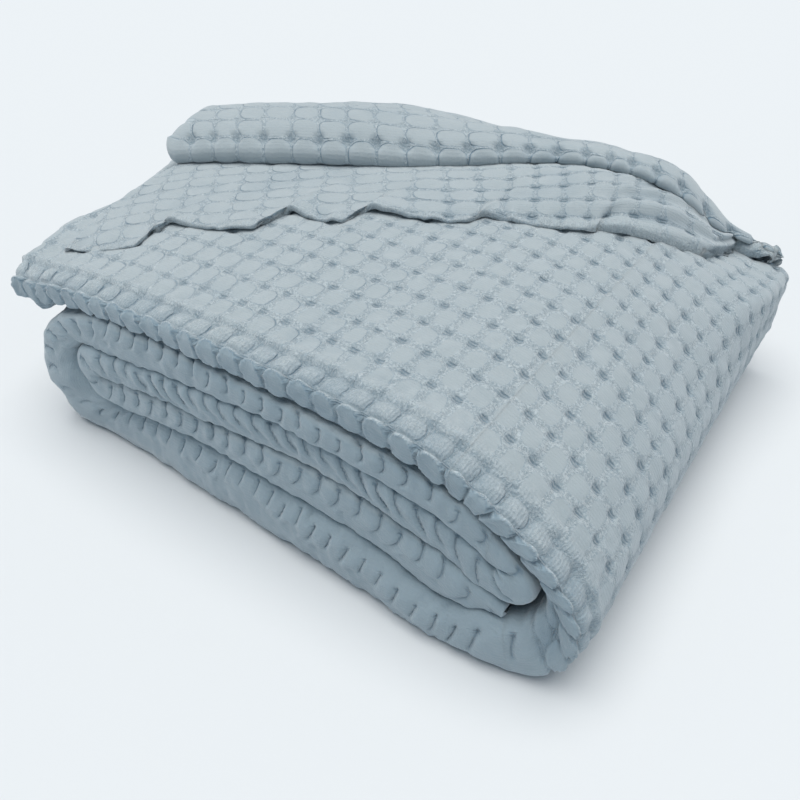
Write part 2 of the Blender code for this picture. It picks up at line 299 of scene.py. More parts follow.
# ---- small helpers -----------------------------------------------------------
def smooth_curve(knots: Grid, values: Grid, at: Grid) -> Grid:
    """Smooth curve through knots, straight on beyond its ends.

    Args:
        knots: Rising places of the knots.
        values: One value at each knot.
        at: Places to read.

    Returns:
        The curve's values at those places.
    """
    knots = np.asarray(knots, float)
    values = np.asarray(values, float)
    at = np.asarray(at, float)
    slope = np.gradient(values, knots)
    cell = np.clip(np.searchsorted(knots, at) - 1, 0, len(knots) - 2)
    width = knots[cell + 1] - knots[cell]
    t = (at - knots[cell]) / width
    rise = values[cell + 1] - values[cell]
    bend = slope[cell] * (t - 2 * t**2 + t**3) + slope[cell + 1] * (t**3 - t**2)
    inside = values[cell] + rise * (3 * t**2 - 2 * t**3) + width * bend
    before = values[0] + slope[0] * (at - knots[0])
    after = values[-1] + slope[-1] * (at - knots[-1])
    return np.where(t < 0.0, before, np.where(t > 1.0, after, inside))


def column(rows: tuple, name: str, x: Grid) -> Grid:
    """Smooth value of a table's named column at the places x."""
    return smooth_curve([row.x for row in rows], [getattr(row, name) for row in rows], x)


def ease(t: Grid) -> Grid:
    """Smooth step from zero at 0 to one at 1."""
    t = np.clip(t, 0.0, 1.0)
    return t * t * (3.0 - 2.0 * t)


def ramp(value: Grid, start: float, length: float) -> Grid:
    """Smooth step that begins at start and ends a length further on."""
    return ease((value - start) / length)


class Span(NamedTuple):
    """A soft step: where it begins and how long it is."""

    start: float
    length: float

    def past(self, value: Grid, origin: float = 0.0) -> Grid:
        """Step up over the span, which begins its start past origin."""
        return ramp(value, origin + self.start, self.length)

    def until(self, value: Grid, origin: float = 0.0) -> Grid:
        """Step down over the span."""
        return 1.0 - self.past(value, origin)


def graded(length: float, fine: float, coarse: float, edge: float) -> Grid:
    """Places from 0 to 1 that are close together near both ends.

    Args:
        length: Real length covered, in metres.
        fine: Spacing near the ends.
        coarse: Spacing in the middle.
        edge: Length of each finely divided end.

    Returns:
        Rising shares of the length.
    """
    steps = max(1, round(edge / fine))
    first = np.linspace(0.0, edge, steps + 1)
    middle = np.linspace(edge, length - edge, max(2, round((length - 2 * edge) / coarse)) + 1)
    return np.concatenate([first, middle[1:-1], length - first[::-1]]) / length


def soft_noise(x: Grid, y: Grid, size: float, seed: int) -> Grid:
    """Smooth seeded unevenness between -1 and 1.

    Args:
        x: First coordinate in metres.
        y: Second coordinate in metres.
        size: Distance between neighbouring swells.
        seed: Which pattern to use.

    Returns:
        The unevenness at each place.
    """
    count = 128
    table = np.random.default_rng(seed).uniform(-1.0, 1.0, (count, count))
    col = np.asarray(x) / size
    row = np.asarray(y) / size
    left = np.floor(col).astype(int)
    low = np.floor(row).astype(int)
    s = ease(col - left)
    t = ease(row - low)
    here = table[left % count, low % count]
    right = table[(left + 1) % count, low % count]
    above = table[left % count, (low + 1) % count]
    both = table[(left + 1) % count, (low + 1) % count]
    return (here * (1 - s) + right * s) * (1 - t) + (above * (1 - s) + both * s) * t


class Swell(NamedTuple):
    """One soft unevenness of the cloth: its height, its size and its seed."""

    height: float
    size: float
    seed: int


def swells(u: Grid, v: Grid, parts: tuple) -> Grid:
    """Sum of the soft unevennesses in parts at the cloth places u and v."""
    return sum(part.height * soft_noise(u, v, part.size, part.seed) for part in parts)


def per_cell(col: Grid, row: Grid, seed: int) -> Grid:
    """Draw one seeded value for each cell of the weave.

    Args:
        col: Whole cells counted one way.
        row: Whole cells counted the other way.
        seed: Which pattern to use.

    Returns:
        A value between -1 and 1 for each cell.
    """
    count = 251
    table = np.random.default_rng(seed).uniform(-1.0, 1.0, (count, count))
    return table[col.astype(int) % count, row.astype(int) % count]


# ---- the folded pile ------------------------------------------------------------
class Wave(NamedTuple):
    """One gentle wave of the pile."""

    share: float
    per_x: float
    per_y: float
    turns: float


@dataclass(frozen=True)
class Pile:
    """The folded pile that every skin follows, with its sizes in metres."""

    sheet: float = 0.0024
    strip_gap: float = 0.0005
    front_y: float = -0.200
    fold_front_y: float = -0.194
    back_y: float = 0.192
    lift_limit: float = 0.35
    lift_length: float = 0.450
    flare_start_x: float = 0.050
    flare_length: float = 0.250
    flare_amount: float = 0.068
    tuck_start_x: float = 0.100
    tuck_length: float = 0.140
    tuck_amount: float = 0.006
    left_rise: float = 0.011
    left_rise_length: float = 0.060
    back_drop: float = 0.009
    back_drop_left: float = 0.006
    back_drop_right: float = 0.012
    back_drop_start_x: float = -0.010
    back_drop_width: float = 0.120
    back_drop_start_y: float = 0.080
    pile_height: float = 0.120
    wave_height: float = 0.0010
    wave_front: float = 0.0022
    wave_turn: float = 0.7
    station_turn: float = 0.35
    low_start_z: float = 0.012
    low_fade: float = 0.030
    left_fold_x: float = -0.116
    left_fold_z: float = 0.066
    left_fold_reach: float = 0.027
    left_fold_height: float = 0.0225
    left_fold_core: float = 0.0016
    left_fold_steps: int = 6
    hem_end_x: float = 0.1945
    nose_fullness: float = 0.85
    inner_fullness: float = 0.62
    nose_depth_limit: float = 0.013
    nose_squareness: float = 0.60
    outer_squareness: float = 0.48
    base_squareness: float = 0.82
    wrap_ease: float = 0.060
    base_start_ease: float = 0.080
    base_end_early: float = 0.010
    base_end_ease: float = 0.040
    nose_fine_steps: int = 180
    inner_nose_share: float = 0.30
    inner_nose_set_back: float = 0.004
    centre_x: float = -0.01822
    centre_y: float = -0.00137
    waves: tuple = (Wave(0.6, 15.0, 4.0, 1.0), Wave(0.4, 33.0, -5.0, 2.0))

    def wave(self, x: Grid, y: Grid, turn: Grid) -> Grid:
        """Gentle unevenness between -1 and 1."""
        return sum(w.share * np.sin(w.per_x * x + w.per_y * y + w.turns * turn) for w in self.waves)

    def spread_out(self, x: Grid, y: Grid, z: Grid) -> Grid:
        """Take points of the straight pile to their places in the uneven one.

        Args:
            x: Place along the front folds.
            y: Place from front to back.
            z: Height in the straight pile.

        Returns:
            Points with a last axis of x, y and z.
        """
        half = 0.5 * self.sheet
        depth = (y - self.front_y) / (self.back_y - self.front_y)
        lift = 1.0 + self.lift_limit * (1.0 - np.exp((self.front_y - y) / self.lift_length))
        left = np.maximum(0.0, (self.flare_start_x - x) / self.flare_length)
        right = np.maximum(0.0, (x - self.tuck_start_x) / self.tuck_length)
        x_out = x - self.flare_amount * left**1.3 * depth - self.tuck_amount * right * depth
        height = np.maximum(0.0, z - half) / self.pile_height
        rise = self.left_rise * left * (1.0 - np.exp((self.front_y - y) / self.left_rise_length))
        drop = self.back_drop + self.back_drop_left * left
        drop = drop + self.back_drop_right * ramp(x, self.back_drop_start_x, self.back_drop_width)
        drop = drop * ramp(y, self.back_drop_start_y, self.back_y - self.back_drop_start_y)
        z_out = half + (z - half) * lift + height * (rise - drop)
        z_out = z_out + self.wave_height * np.minimum(1.0, 2.0 * height) * self.wave(x, y, self.wave_turn)
        return np.stack([x_out - self.centre_x, y - self.centre_y + 0.0 * x_out, z_out], axis=-1)

    def run(self, rows: tuple, far: str, near: str, xs: list) -> list:
        """Stations of a lying strip between two columns of a table.

        Args:
            rows: The table of heights.
            far: Name of the column of face a, or nothing for the floor.
            near: Name of the column of face b, or nothing for the floor.
            xs: Places along the strip.

        Returns:
            Face points of each station, as ax, az, bx and bz.
        """
        stations = []
        for x in xs:
            face_a = float(column(rows, far, x)) if far else 0.0
            face_b = float(column(rows, near, x)) if near else 0.0
            gap = self.strip_gap if face_b > face_a else -self.strip_gap
            stations.append((x, face_a + gap, x, face_b - gap if near else 0.0))
        return stations

    def fold_round_left(self) -> list:
        """Stations round the left end of the two inner strips.

        Returns:
            Face points of each station, as ax, az, bx and bz.
        """
        stations = []
        for step in range(1, self.left_fold_steps):
            turn = math.pi * step / self.left_fold_steps
            side = math.sin(turn)
            up = math.cos(turn)
            pair = []
            for reach, height in ((self.left_fold_reach, self.left_fold_height), (self.left_fold_core,) * 2):
                pair.append(self.left_fold_x - reach * side)
                pair.append(self.left_fold_z - height * up)
            stations.append(tuple(pair))
        return stations

    @staticmethod
    def wrap(rows: tuple) -> list:
        """Stations of a wrap whose outer face is face b."""
        return [(row.in_x, row.in_z, row.out_x, row.out_z) for row in rows]

    def parts(self) -> dict:
        """Stations of every strip and wrap.

        Returns:
            Stations by strip, in the order of the spiral.
        """
        inner = [row.x for row in INNER_LAYERS]
        upper = [row.x for row in UPPER_LAYER]
        return {
            Strip.FIRST: self.run(INNER_LAYERS, "bottom_top", "first_top", [self.hem_end_x] + inner[::-1]),
            Strip.LEFT_FOLD: self.fold_round_left(),
            Strip.SECOND: self.run(INNER_LAYERS, "second_top", "first_top", inner),
            Strip.MIDDLE_FOLD: self.wrap(MIDDLE_FOLD),
            Strip.THIRD: self.run(INNER_LAYERS, "second_top", "third_top", inner[::-1]),
            Strip.LEFT_WRAP: self.wrap(LEFT_WRAP),
            Strip.BASE: self.run(INNER_LAYERS, "bottom_top", "", inner[1:]),
            Strip.RIGHT_WRAP: self.wrap(RIGHT_WRAP),
            Strip.TOP: self.run(UPPER_LAYER, "under", "top", upper[::-1]) + self.wrap(TOP_END),
        }


@dataclass
class Spiral:
    """The path of the strips, read at any length along its middle line."""

    pile: Pile
    fine_steps: int = 4000
    span: dict = field(init=False, default_factory=dict)
    stations: Grid = field(init=False)
    knots: Grid = field(init=False)
    fine: Grid = field(init=False)
    outer_length: Grid = field(init=False)

    def __post_init__(self) -> None:
        """Join the stations of every strip into one path."""
        stations = []
        for strip, part in self.pile.parts().items():
            self.span[strip] = (len(stations), len(stations) + len(part) - 1)
            stations += part
        self.stations = np.array(stations)
        middle = 0.5 * (self.stations[:, :2] + self.stations[:, 2:])
        steps = np.hypot(*np.diff(middle, axis=0).T)
        self.knots = np.concatenate([[0.0], np.cumsum(steps)])
        self.fine = np.linspace(0.0, self.knots[-1], self.fine_steps)
        faces = self.faces(self.fine)
        edge = np.hypot(np.diff(faces[2]), np.diff(faces[3]))
        self.outer_length = np.concatenate([[0.0], np.cumsum(edge)])

    def faces(self, along: Grid) -> tuple:
        """Both face points, as (ax, az, bx, bz), at lengths along the path."""
        return tuple(smooth_curve(self.knots, self.stations[:, k], along) for k in range(4))

    def start(self, strip: Strip) -> float:
        """Length along the path at which a strip begins."""
        return float(self.knots[self.span[strip][0]])

    def end(self, strip: Strip) -> float:
        """Length along the path at which a strip ends."""
        return float(self.knots[self.span[strip][1]])

    def at_x(self, strip: Strip, x: float) -> float:
        """Find the length along the path at a place on a lying strip.

        Args:
            strip: The strip.
            x: Place along it.

        Returns:
            Length along the path.
        """
        first, last = self.span[strip]
        places = 0.5 * (self.stations[first : last + 1, 0] + self.stations[first : last + 1, 2])
        order = np.argsort(places)
        return float(np.interp(x, places[order], self.knots[first : last + 1][order]))

    def outer_at(self, along: Grid) -> Grid:
        """Length along face b at lengths along the middle line."""
        return np.interp(along, self.fine, self.outer_length)


# ---- the weave ----------------------------------------------------------------
class CellMark(NamedTuple):
    """Number of cells counted along the spiral at a place on a strip."""

    strip: Strip
    x: float
    cells: float


# These places are ones that a program printed.
CELL_MARKS = (
    CellMark(Strip.FIRST, 0.1470, 2.0),
    CellMark(Strip.FIRST, -0.1090, 20.0),
    CellMark(Strip.SECOND, -0.1110, 23.0),
    CellMark(Strip.SECOND, 0.1776, 46.0),
    CellMark(Strip.THIRD, 0.1351, 52.0),
    CellMark(Strip.THIRD, -0.1197, 70.0),
    CellMark(Strip.BASE, -0.0136, 86.0),
    CellMark(Strip.BASE, 0.2057, 102.0),
)


class StripLook(NamedTuple):
    """How the creases of a strip's front fold lie, in metres from its upper edge."""

    strip: Strip
    middle: float
    reach: float
    slant: float
    curl: float
    depth: float
    width: float
    puff: float
    scale: float


STRIP_LOOKS = (
    StripLook(Strip.FIRST, 0.0110, 0.0056, 0.10, 0.16, 0.0012, 0.105, 0.0010, -0.0012),
    StripLook(Strip.LEFT_FOLD, 0.0110, 0.0060, 0.10, 0.10, 0.0010, 0.110, 0.0006, 0.0),
    StripLook(Strip.SECOND, 0.0092, 0.0058, 0.24, 0.14, 0.0011, 0.110, 0.0009, 0.0020),
    StripLook(Strip.MIDDLE_FOLD, 0.0100, 0.0060, 0.10, 0.10, 0.0012, 0.105, 0.0010, 0.0),
    StripLook(Strip.THIRD, 0.0068, 0.0044, 0.00, 0.15, 0.0017, 0.100, 0.0005, 0.0),
    StripLook(Strip.LEFT_WRAP, 0.0110, 0.0060, 0.00, 0.10, 0.0012, 0.110, 0.0005, 0.0),
    StripLook(Strip.BASE, 0.0170, 0.0054, -0.15, -0.05, 0.0014, 0.100, 0.0014, -0.0006),
    StripLook(Strip.RIGHT_WRAP, 0.0200, 0.0090, -0.10, 0.00, 0.0016, 0.110, 0.0014, 0.0),
)


def squarish(p: Grid, q: Grid, power: float) -> Grid:
    """Distance from a cell's middle that is one all round a square with rounded corners."""
    return (np.abs(p) ** power + np.abs(q) ** power) ** (1.0 / power)


@dataclass(frozen=True)
class TickShape:
    """How the short creases of a front fold wander and end, in cells and shares of their reach."""

    bend_to: float = 1.8
    wander: float = 0.07
    wander_length: float = 0.010
    wander_size: float = 1.1
    middle_uneven: float = 0.40
    length_uneven: float = 0.25
    depth_uneven: float = 0.3
    end: Span = Span(0.65, 0.55)
    puff_end: Span = Span(0.7, 1.2)
    puff_uneven: float = 0.35
    scale: float = 0.75
    hook: float = 0.5
    hook_at: float = 0.9
    hook_wider: float = 1.8
    hook_length: float = 0.26


TICK = TickShape()


@dataclass(frozen=True)
class Weave:
    """Relief of the waffle weave: flat round puffs with a hollow at every corner."""

    cell_along: float = 0.0165
    cell_across: float = 0.0214
    first_hollow: float = 0.1067
    groove_y: float = -0.1778
    height: float = 0.0024
    crease: float = 0.0004
    crease_start: float = 0.80
    power: float = 2.6
    hollow_along: float = 0.36
    hollow_across: float = 0.27
    dome: float = 0.0003
    disc: float = 0.0002
    uneven: float = 0.0003
    tilt: float = 0.0005
    slip: float = 0.06

    def slipped(self, a: Grid, b: Grid, seed: int) -> tuple:
        """Cell counts made uneven, as the yarns of a washed cloth slip.

        Args:
            a: Cells counted one way.
            b: Cells counted the other way.
            seed: Which unevenness to use.

        Returns:
            The two counts, slightly shifted.
        """
        first = a + self.slip * (soft_noise(a, b, 1.7, seed) + 0.5 * soft_noise(a, b, 0.7, seed + 1))
        second = b + self.slip * (soft_noise(a, b, 1.9, seed + 2) + 0.5 * soft_noise(a, b, 0.8, seed + 3))
        return first, second

    def cells(self, a: Grid, b: Grid, seed: int) -> Grid:
        """Height of puffed cells, with hollows where both counts are whole.

        Args:
            a: Cells counted along the strip.
            b: Cells counted across the strip.
            seed: Which unevenness to use.

        Returns:
            Height in metres, nought in the hollows.
        """
        col = np.floor(a)
        row = np.floor(b)
        p = 2.0 * (a - col) - 1.0
        q = 2.0 * (b - row) - 1.0
        reach = squarish(p, q, self.power)
        past = (reach - self.crease_start) / (1.0 - self.crease_start)
        crease = self.crease * np.clip(past, 0.0, 1.0) ** 1.5
        corner = ((1.0 - np.abs(p)) / self.hollow_along) ** 4
        corner = corner + ((1.0 - np.abs(q)) / self.hollow_across) ** 3
        hollow = (self.height - self.crease) * np.exp(-corner)
        inside = (1.0 - p**8) * (1.0 - q**8)
        lift = self.uneven * per_cell(col, row, seed + 4)
        lean = self.tilt * (p * per_cell(col, row, seed + 5) + q * per_cell(col, row, seed + 6))
        disc = self.disc * (1.0 - ease((reach - 0.74) / 0.12))
        dome = self.dome * (1.0 - 0.5 * (p**2 + q**2))
        return self.height - crease - hollow + inside * (lift + lean) + dome + disc

    def ticks(self, cells: Grid, from_b: Grid, up: Grid, look: dict, seed: int) -> tuple:
        """Height of a front fold whose cells are parted by short creases.

        Args:
            cells: Cells counted along the strip.
            from_b: Distance round the fold from its face b, from the middle of the creases.
            up: One where face b is the upper face, minus one where it is the lower one.
            look: The values of StripLook, one at each place.
            seed: Which unevenness to use.

        Returns:
            Height in metres about the smooth fold, the cell count that is whole on each
            crease, and the place along the crease from -1 at its upper end to 1.
        """
        lane = from_b / look["reach"]
        bent = np.clip(lane, -TICK.bend_to, TICK.bend_to)
        shift = look["slant"] * up * bent + look["curl"] * bent**2
        wander = soft_noise(cells, from_b / TICK.wander_length, TICK.wander_size, seed)
        a = cells - shift + TICK.wander * wander
        number = np.floor(a + 0.5)
        jitter = per_cell(number, 0.0 * number, seed + 1)
        lane = lane + TICK.middle_uneven * jitter
        gap = np.abs(a - number)
        size = np.abs(lane) * (1.0 + TICK.length_uneven * per_cell(number, 0.0 * number, seed + 3))
        crease = np.exp(-((gap / look["width"]) ** 2)) * TICK.end.until(size)
        cell = np.floor(a)
        p = 2.0 * (a - cell) - 1.0
        own = per_cell(cell, 0.0 * cell, seed + 2)
        near = TICK.puff_end.until(np.abs(lane))
        puff = (1.0 - np.abs(p) ** 3) * near
        along_hook = (lane + TICK.hook_at * up) / TICK.hook_length
        hook = np.exp(-((gap / (TICK.hook_wider * look["width"])) ** 2) - along_hook**2)
        # Each cell of a front fold leans like a scale and is parted by a crease with a hooked end.
        height = (
            look["puff"] * puff * (1.0 + TICK.puff_uneven * own)
            + look["scale"] * TICK.scale * p * (1.0 - p**4) * near
            - look["depth"] * (crease * (1.0 + TICK.depth_uneven * jitter) + TICK.hook * hook)
        )
        return height, a, lane * np.where(up > 0.0, 1.0, -1.0)


@dataclass(frozen=True)
class Rim:
    """Sizes of the top strip's front edge; the rows are counted in cells from the groove."""

    puffs: float = 0.0150
    discs: float = 0.0165
    wander: float = 0.05
    groove_scallop: float = 0.10
    groove_depth: float = 0.0018
    groove_width: float = 0.060
    lip: float = 0.0011
    puff: float = 0.0027
    ridge_at: float = 0.92
    disc_rows: float = 1.02
    proud: float = 0.0040
    proud_low: float = 0.0014
    crest: float = 0.0008
    sunk: float = 0.0028
    deep: float = 0.66
    gape: float = 0.30
    seed: int = 11
    far_rows: float = 30.0
    slip: float = 0.35
    wander_size: float = 1.6
    uneven: float = 0.0004
    lip_start: float = 0.34
    lip_at: float = 0.20
    lip_width: float = 0.12
    puff_power: float = 2.6
    disc_power: float = 2.5
    disc_edge: float = 0.86
    disc_fade: float = 0.13
    crest_width: float = 0.07


@dataclass(frozen=True)
class Ply:
    """Sizes shared by all plies."""

    skin_top: float = 0.0019
    floor: float = 0.0003
    fold_steps: int = 8
    inner_nose_steps: int = 5
    inner_hem: float = 0.006
    inner_puff: float = 0.55
    inner_level: float = 0.6
    inner_ease: float = 0.006
    hem: float = 0.0034
    hem_steps: int = 5
    hem_return: float = 0.008
    hem_cloth: float = 0.010
    depth: float = 0.378
    grid: float = 0.0016
    fine: float = 0.0024
    coarse: float = 0.020
    fine_end: float = 0.014
    dense_nose: int = 40
    plain_nose: int = 30


RIM = Rim()
PLY = Ply()
HIDDEN_ROWS = graded(PLY.depth, PLY.fine, PLY.coarse, PLY.fine_end)
DENSE_ROWS = np.linspace(0.0, 1.0, round(PLY.depth / PLY.grid) + 1)


class Skin(NamedTuple):
    """Grid of points of a piece of cloth, with what its finish needs at every point.

    The cloth grid holds places on the cloth in metres, relief the height of the weave,
    cells the two cell counts, and marks named shares: creased (short creases instead of
    puffs), lined (how strong the painted shade of the seams is), pitted (how strong the
    painted shade in the hollows is), loose (loose yarn, whose tufts get painted highlights
    and painted shade between them), shaded (painted shade: darker in colour where light
    falls less, on the front folds, the rim's discs and the right wrap's lower end) and
    apart (how far the round puffs stand from each other).
    """

    points: Grid
    cloth: Grid
    relief: Grid
    cells: Grid
    marks: dict


MARKS = ("creased", "lined", "pitted", "loose", "shaded", "apart")


def outward(points: Grid) -> Grid:
    """Find the unit normals of a grid of points, from its two directions.

    Args:
        points: Grid of points.

    Returns:
        Grid of unit vectors.
    """
    along = np.gradient(points, axis=0)
    across = np.gradient(points, axis=1)
    normal = np.cross(along, across)
    size = np.linalg.norm(normal, axis=-1, keepdims=True)
    return normal / np.maximum(size, 1e-12)


@dataclass
class StripSkins:
    """The four plies of the spiral strips, one skin for each part of the path."""

    spiral: Spiral
    weave: Weave
    end_columns: int = 5
    end_reach: float = 0.0016
    start_reach: float = 0.0064
    left_pits: float = 0.55
    left_flat: float = 0.35
    zero_past_top: float = 0.160
    even_past_wrap: float = 0.012
    look_inset: float = 0.15
    tick_fade: float = 0.030
    nose_ease: float = 0.006
    nose_early: float = 0.004
    nose_rest: float = 0.001
    swell_ease: float = 0.05
    wrap_rim: Span = Span(0.006, 0.024)
    # wrap_lower and rim_lower bound the painted shade on the right wrap's lower end.
    wrap_lower: Span = Span(0.010, 0.110)
    top_bend: Span = Span(-0.030, 0.110)
    top_left: Span = Span(0.100, 0.160)
    top_faint: Span = Span(0.030, 0.100)
    rim_lower: Span = Span(0.90, 0.10)
    puffs_from: Span = Span(0.10, 0.15)
    puffs_until: Span = Span(0.80, 0.10)
    loose_from: Span = Span(-0.45, 0.3)
    loose_until: Span = Span(1.00, 0.12)
    discs_from: Span = Span(0.96, 0.12)
    apart_until: Span = Span(-0.5, 0.4)
    sure_from: Span = Span(0.5, 0.4)
    groove_blur: float = 0.16
    turning_blur: float = 0.08
    rim_loose: float = 0.7
    disc_shade: float = 1.7
    puff_lines: float = 1.2
    top_lines: float = 0.6
    left_apart: float = 0.75
    tick_seed: int = 31
    plain_seed: int = 17
    back_from: Span = Span(0.010, 0.160)
    back_inner: float = 0.35
    edge_reach: float = 0.060
    broad_swells: tuple = (Swell(0.0009, 0.045, 41), Swell(0.0006, 0.013, 42))
    fine_swells: tuple = (Swell(0.00065, 0.0064, 43), Swell(0.00035, 0.0037, 44))
    pile: Pile = field(init=False)
    mark_at: Grid = field(init=False)
    mark_cells: Grid = field(init=False)
    outer_zero: float = field(init=False)
    wrap_at: float = field(init=False)
    top_cells: int = field(init=False)

    def __post_init__(self) -> None:
        """Find where the even cells of the wrap and the top begin, in whole cells."""
        self.pile = self.spiral.pile
        self.mark_at = np.array([self.spiral.at_x(mark.strip, mark.x) for mark in CELL_MARKS])
        self.mark_cells = np.array([mark.cells for mark in CELL_MARKS])
        self.outer_zero = float(self.spiral.outer_at(self.spiral.start(Strip.TOP))) + self.zero_past_top
        self.wrap_at = self.spiral.start(Strip.RIGHT_WRAP) + self.even_past_wrap
        whole = math.ceil(self.mark_cells[-1] + 1.0)
        wrap_u = self.outer_zero - float(self.spiral.outer_at(self.wrap_at))
        self.top_cells = math.ceil(whole + (wrap_u - self.weave.first_hollow) / self.weave.cell_along)

    def even_cells(self, along: Grid) -> Grid:
        """Cells counted evenly along face b, as on the wrap and the top."""
        u = self.outer_zero - self.spiral.outer_at(along)
        return self.top_cells - (u - self.weave.first_hollow) / self.weave.cell_along

    def count_cells(self, along: Grid) -> Grid:
        """Count the cells along the spiral.

        Args:
            along: Lengths along its middle line.

        Returns:
            The number of cells at each length.
        """
        knots = np.append(self.mark_at, self.wrap_at)
        cells = np.append(self.mark_cells, self.even_cells(self.wrap_at))
        slope = (cells[1] - cells[0]) / (knots[1] - knots[0])
        below = np.interp(along, knots, cells)
        below = np.where(along < knots[0], cells[0] + slope * (along - knots[0]), below)
        return np.where(along < self.wrap_at, below, self.even_cells(along))

    def looks(self, along: Grid) -> dict:
        """Read StripLook at lengths along the path, eased from part to part.

        Args:
            along: Lengths along the path.

        Returns:
            Values by name, one at each length.
        """
        places = []
        values = []
        for look in STRIP_LOOKS:
            start = self.spiral.start(look.strip)
            end = self.spiral.end(look.strip)
            inset = self.look_inset * (end - start)
            places += [start + inset, end - inset]
            values += [look, look]
        names = StripLook._fields[1:]
        return {n: np.interp(along, places, [getattr(v, n) for v in values]) for n in names}

    def section(self, along: Grid, top_rows: Grid, nose_rows: int, under_rows: Grid) -> dict:
        """Outer skin of the strips: upper ply, front fold and lower ply on face b, nose and face a.

        Args:
            along: Lengths along the path, one for each column of the grid.
            top_rows: Shares from the back edge to the front fold on face b.
            nose_rows: Steps round the front fold.
            under_rows: Shares from the front fold to the back edge on face a.

        Returns:
            Grids of share, y, length and region for every column and row.
        """
        pile = self.pile
        ax, az, bx, bz = self.spiral.faces(along)
        deep = np.hypot(bx - ax, bz - az)
        outer = 0.5 * pile.sheet / deep
        number = np.interp(along, self.spiral.knots, np.arange(len(self.spiral.knots)))
        x = 0.5 * (ax + bx)
        low = 1.0 - ramp(np.minimum(az, bz), pile.low_start_z, pile.low_fade)
        forward = low * column(BOTTOM_FRONT, "forward", x)
        front = pile.fold_front_y - forward + pile.wave_front * pile.wave(x, bz, pile.station_turn * number)
        wrap = self.spiral.start(Strip.RIGHT_WRAP)
        inner_part = 1.0 - ramp(along, wrap, pile.wrap_ease)
        fullness = pile.nose_fullness + (pile.inner_fullness - pile.nose_fullness) * inner_part
        nose = np.minimum(0.5 * (deep - pile.sheet) * fullness, pile.nose_depth_limit)
        start = front + nose
        fine = np.linspace(0.0, math.pi, pile.nose_fine_steps + 1)
        cosine = np.cos(fine)
        square = pile.outer_squareness + (pile.nose_squareness - pile.outer_squareness) * inner_part
        on_base = ramp(along, self.spiral.start(Strip.LEFT_WRAP), pile.base_start_ease)
        on_base = on_base * (1.0 - ramp(along, wrap - pile.base_end_early, pile.base_end_ease))
        square = square + (pile.base_squareness - square) * on_base
        rows_share = []
        rows_y = []
        rows_length = []
        for k in range(len(along)):
            across = np.sign(cosine) * np.abs(cosine) ** square[k]
            ahead = np.maximum(0.0, np.sin(fine)) ** square[k]
            height = (0.5 - outer[k]) * deep[k]
            step = np.hypot(np.diff(height * across), np.diff(nose[k] * ahead))
            length = np.concatenate([[0.0], np.cumsum(step)])
            want = np.linspace(0.0, length[-1], nose_rows + 1)
            share = 0.5 + (0.5 - outer[k]) * np.interp(want, length, across)
            y = start[k] - nose[k] * np.interp(want, length, ahead)
            top_y = pile.back_y + (start[k] - pile.back_y) * top_rows
            low_y = start[k] + (pile.back_y - start[k]) * under_rows
            top_share = np.full(len(top_y) - 1, 1.0 - outer[k])
            low_share = np.full(len(low_y) - 1, outer[k])
            rows_share.append(np.concatenate([top_share, share, low_share]))
            rows_y.append(np.concatenate([top_y[:-1], y, low_y[1:]]))
            low_length = length[-1] + low_y[1:] - start[k]
            rows_length.append(np.concatenate([start[k] - top_y[:-1], want, low_length]))
        return {
            "faces": (ax, az, bx, bz),
            "deep": deep,
            "outer": outer,
            "start": start,
            "share": np.array(rows_share),
            "y": np.array(rows_y),
            "length": np.array(rows_length),
            "nose": np.array([row[len(top_rows) - 1 + nose_rows] for row in rows_length]),
        }

    def place(self, along: Grid, share: Grid, y: Grid) -> Grid:
        """Place points on the strips.

        Args:
            along: Lengths along the path, one for each column.
            share: Grid of shares between the two faces.
            y: Grid of y.

        Returns:
            Grid of points.
        """
        ax, az, bx, bz = (face[:, None] for face in self.spiral.faces(along))
        out, up = self.shifts(along, share, y)
        return self.pile.spread_out(ax + share * (bx - ax) + out, y, az + share * (bz - az) + up)

    def rim_relief(self, cells: Grid, beyond: Grid, bent: Grid) -> tuple:
        """Height of the top strip: waffle cells, a groove, a row of puffs and a row of proud discs.

        Args:
            cells: Cells counted along the spiral.
            beyond: Distance forward from the groove, negative on top of the pile.
            bent: One where the cloth bends round the right end and its hollows gape.

        Returns:
            Height in metres, and the two cell counts.
        """
        weave = self.weave
        far = RIM.far_rows
        end = RIM.puffs + RIM.discs
        places = [-far * weave.cell_across, 0.0, RIM.puffs, end, end + far * weave.cell_across]
        rows = np.interp(beyond, places, [-far, 0.0, 1.0, 2.0, 2.0 + far])
        a, b = weave.slipped(cells, rows, RIM.seed)
        on_rim = ease((rows + 0.5) / 0.5)
        a = on_rim * (cells + RIM.slip * (a - cells)) + (1.0 - on_rim) * a
        wander = RIM.wander * soft_noise(cells, 0.0 * rows, RIM.wander_size, RIM.seed + 50)
        b = on_rim * (rows + wander) + (1.0 - on_rim) * b
        p = 2.0 * (a - np.floor(a)) - 1.0
        scallop = 1.0 - p**2
        edge = b - RIM.groove_scallop * (scallop - 0.5)
        groove = RIM.groove_depth * np.exp(-((edge / RIM.groove_width) ** 2))
        lip = RIM.lip * np.exp(-(((edge + RIM.lip_at) / RIM.lip_width) ** 2))
        own = RIM.uneven * per_cell(np.floor(a), np.floor(np.clip(b, -1.0, 3.0)), RIM.seed + 52)
        puff_q = 2.0 * b / RIM.ridge_at - 1.0
        round_puff = squarish(p, puff_q, RIM.puff_power)
        puff = (RIM.puff + own) * (1.0 - np.clip(round_puff, 0.0, 1.0) ** 3)
        disc_q = 2.0 * (b - RIM.ridge_at) / RIM.disc_rows - 1.0
        round_disc = squarish(p, disc_q, RIM.disc_power)
        disc = 1.0 - ease((round_disc - RIM.disc_edge) / RIM.disc_fade)
        lean = 0.5 * (np.clip(disc_q, -1.0, 1.0) + 1.0)
        proud = RIM.proud + (RIM.proud_low - RIM.proud + own) * lean
        upper = 1.0 - ease((disc_q + 0.1) / 0.5)
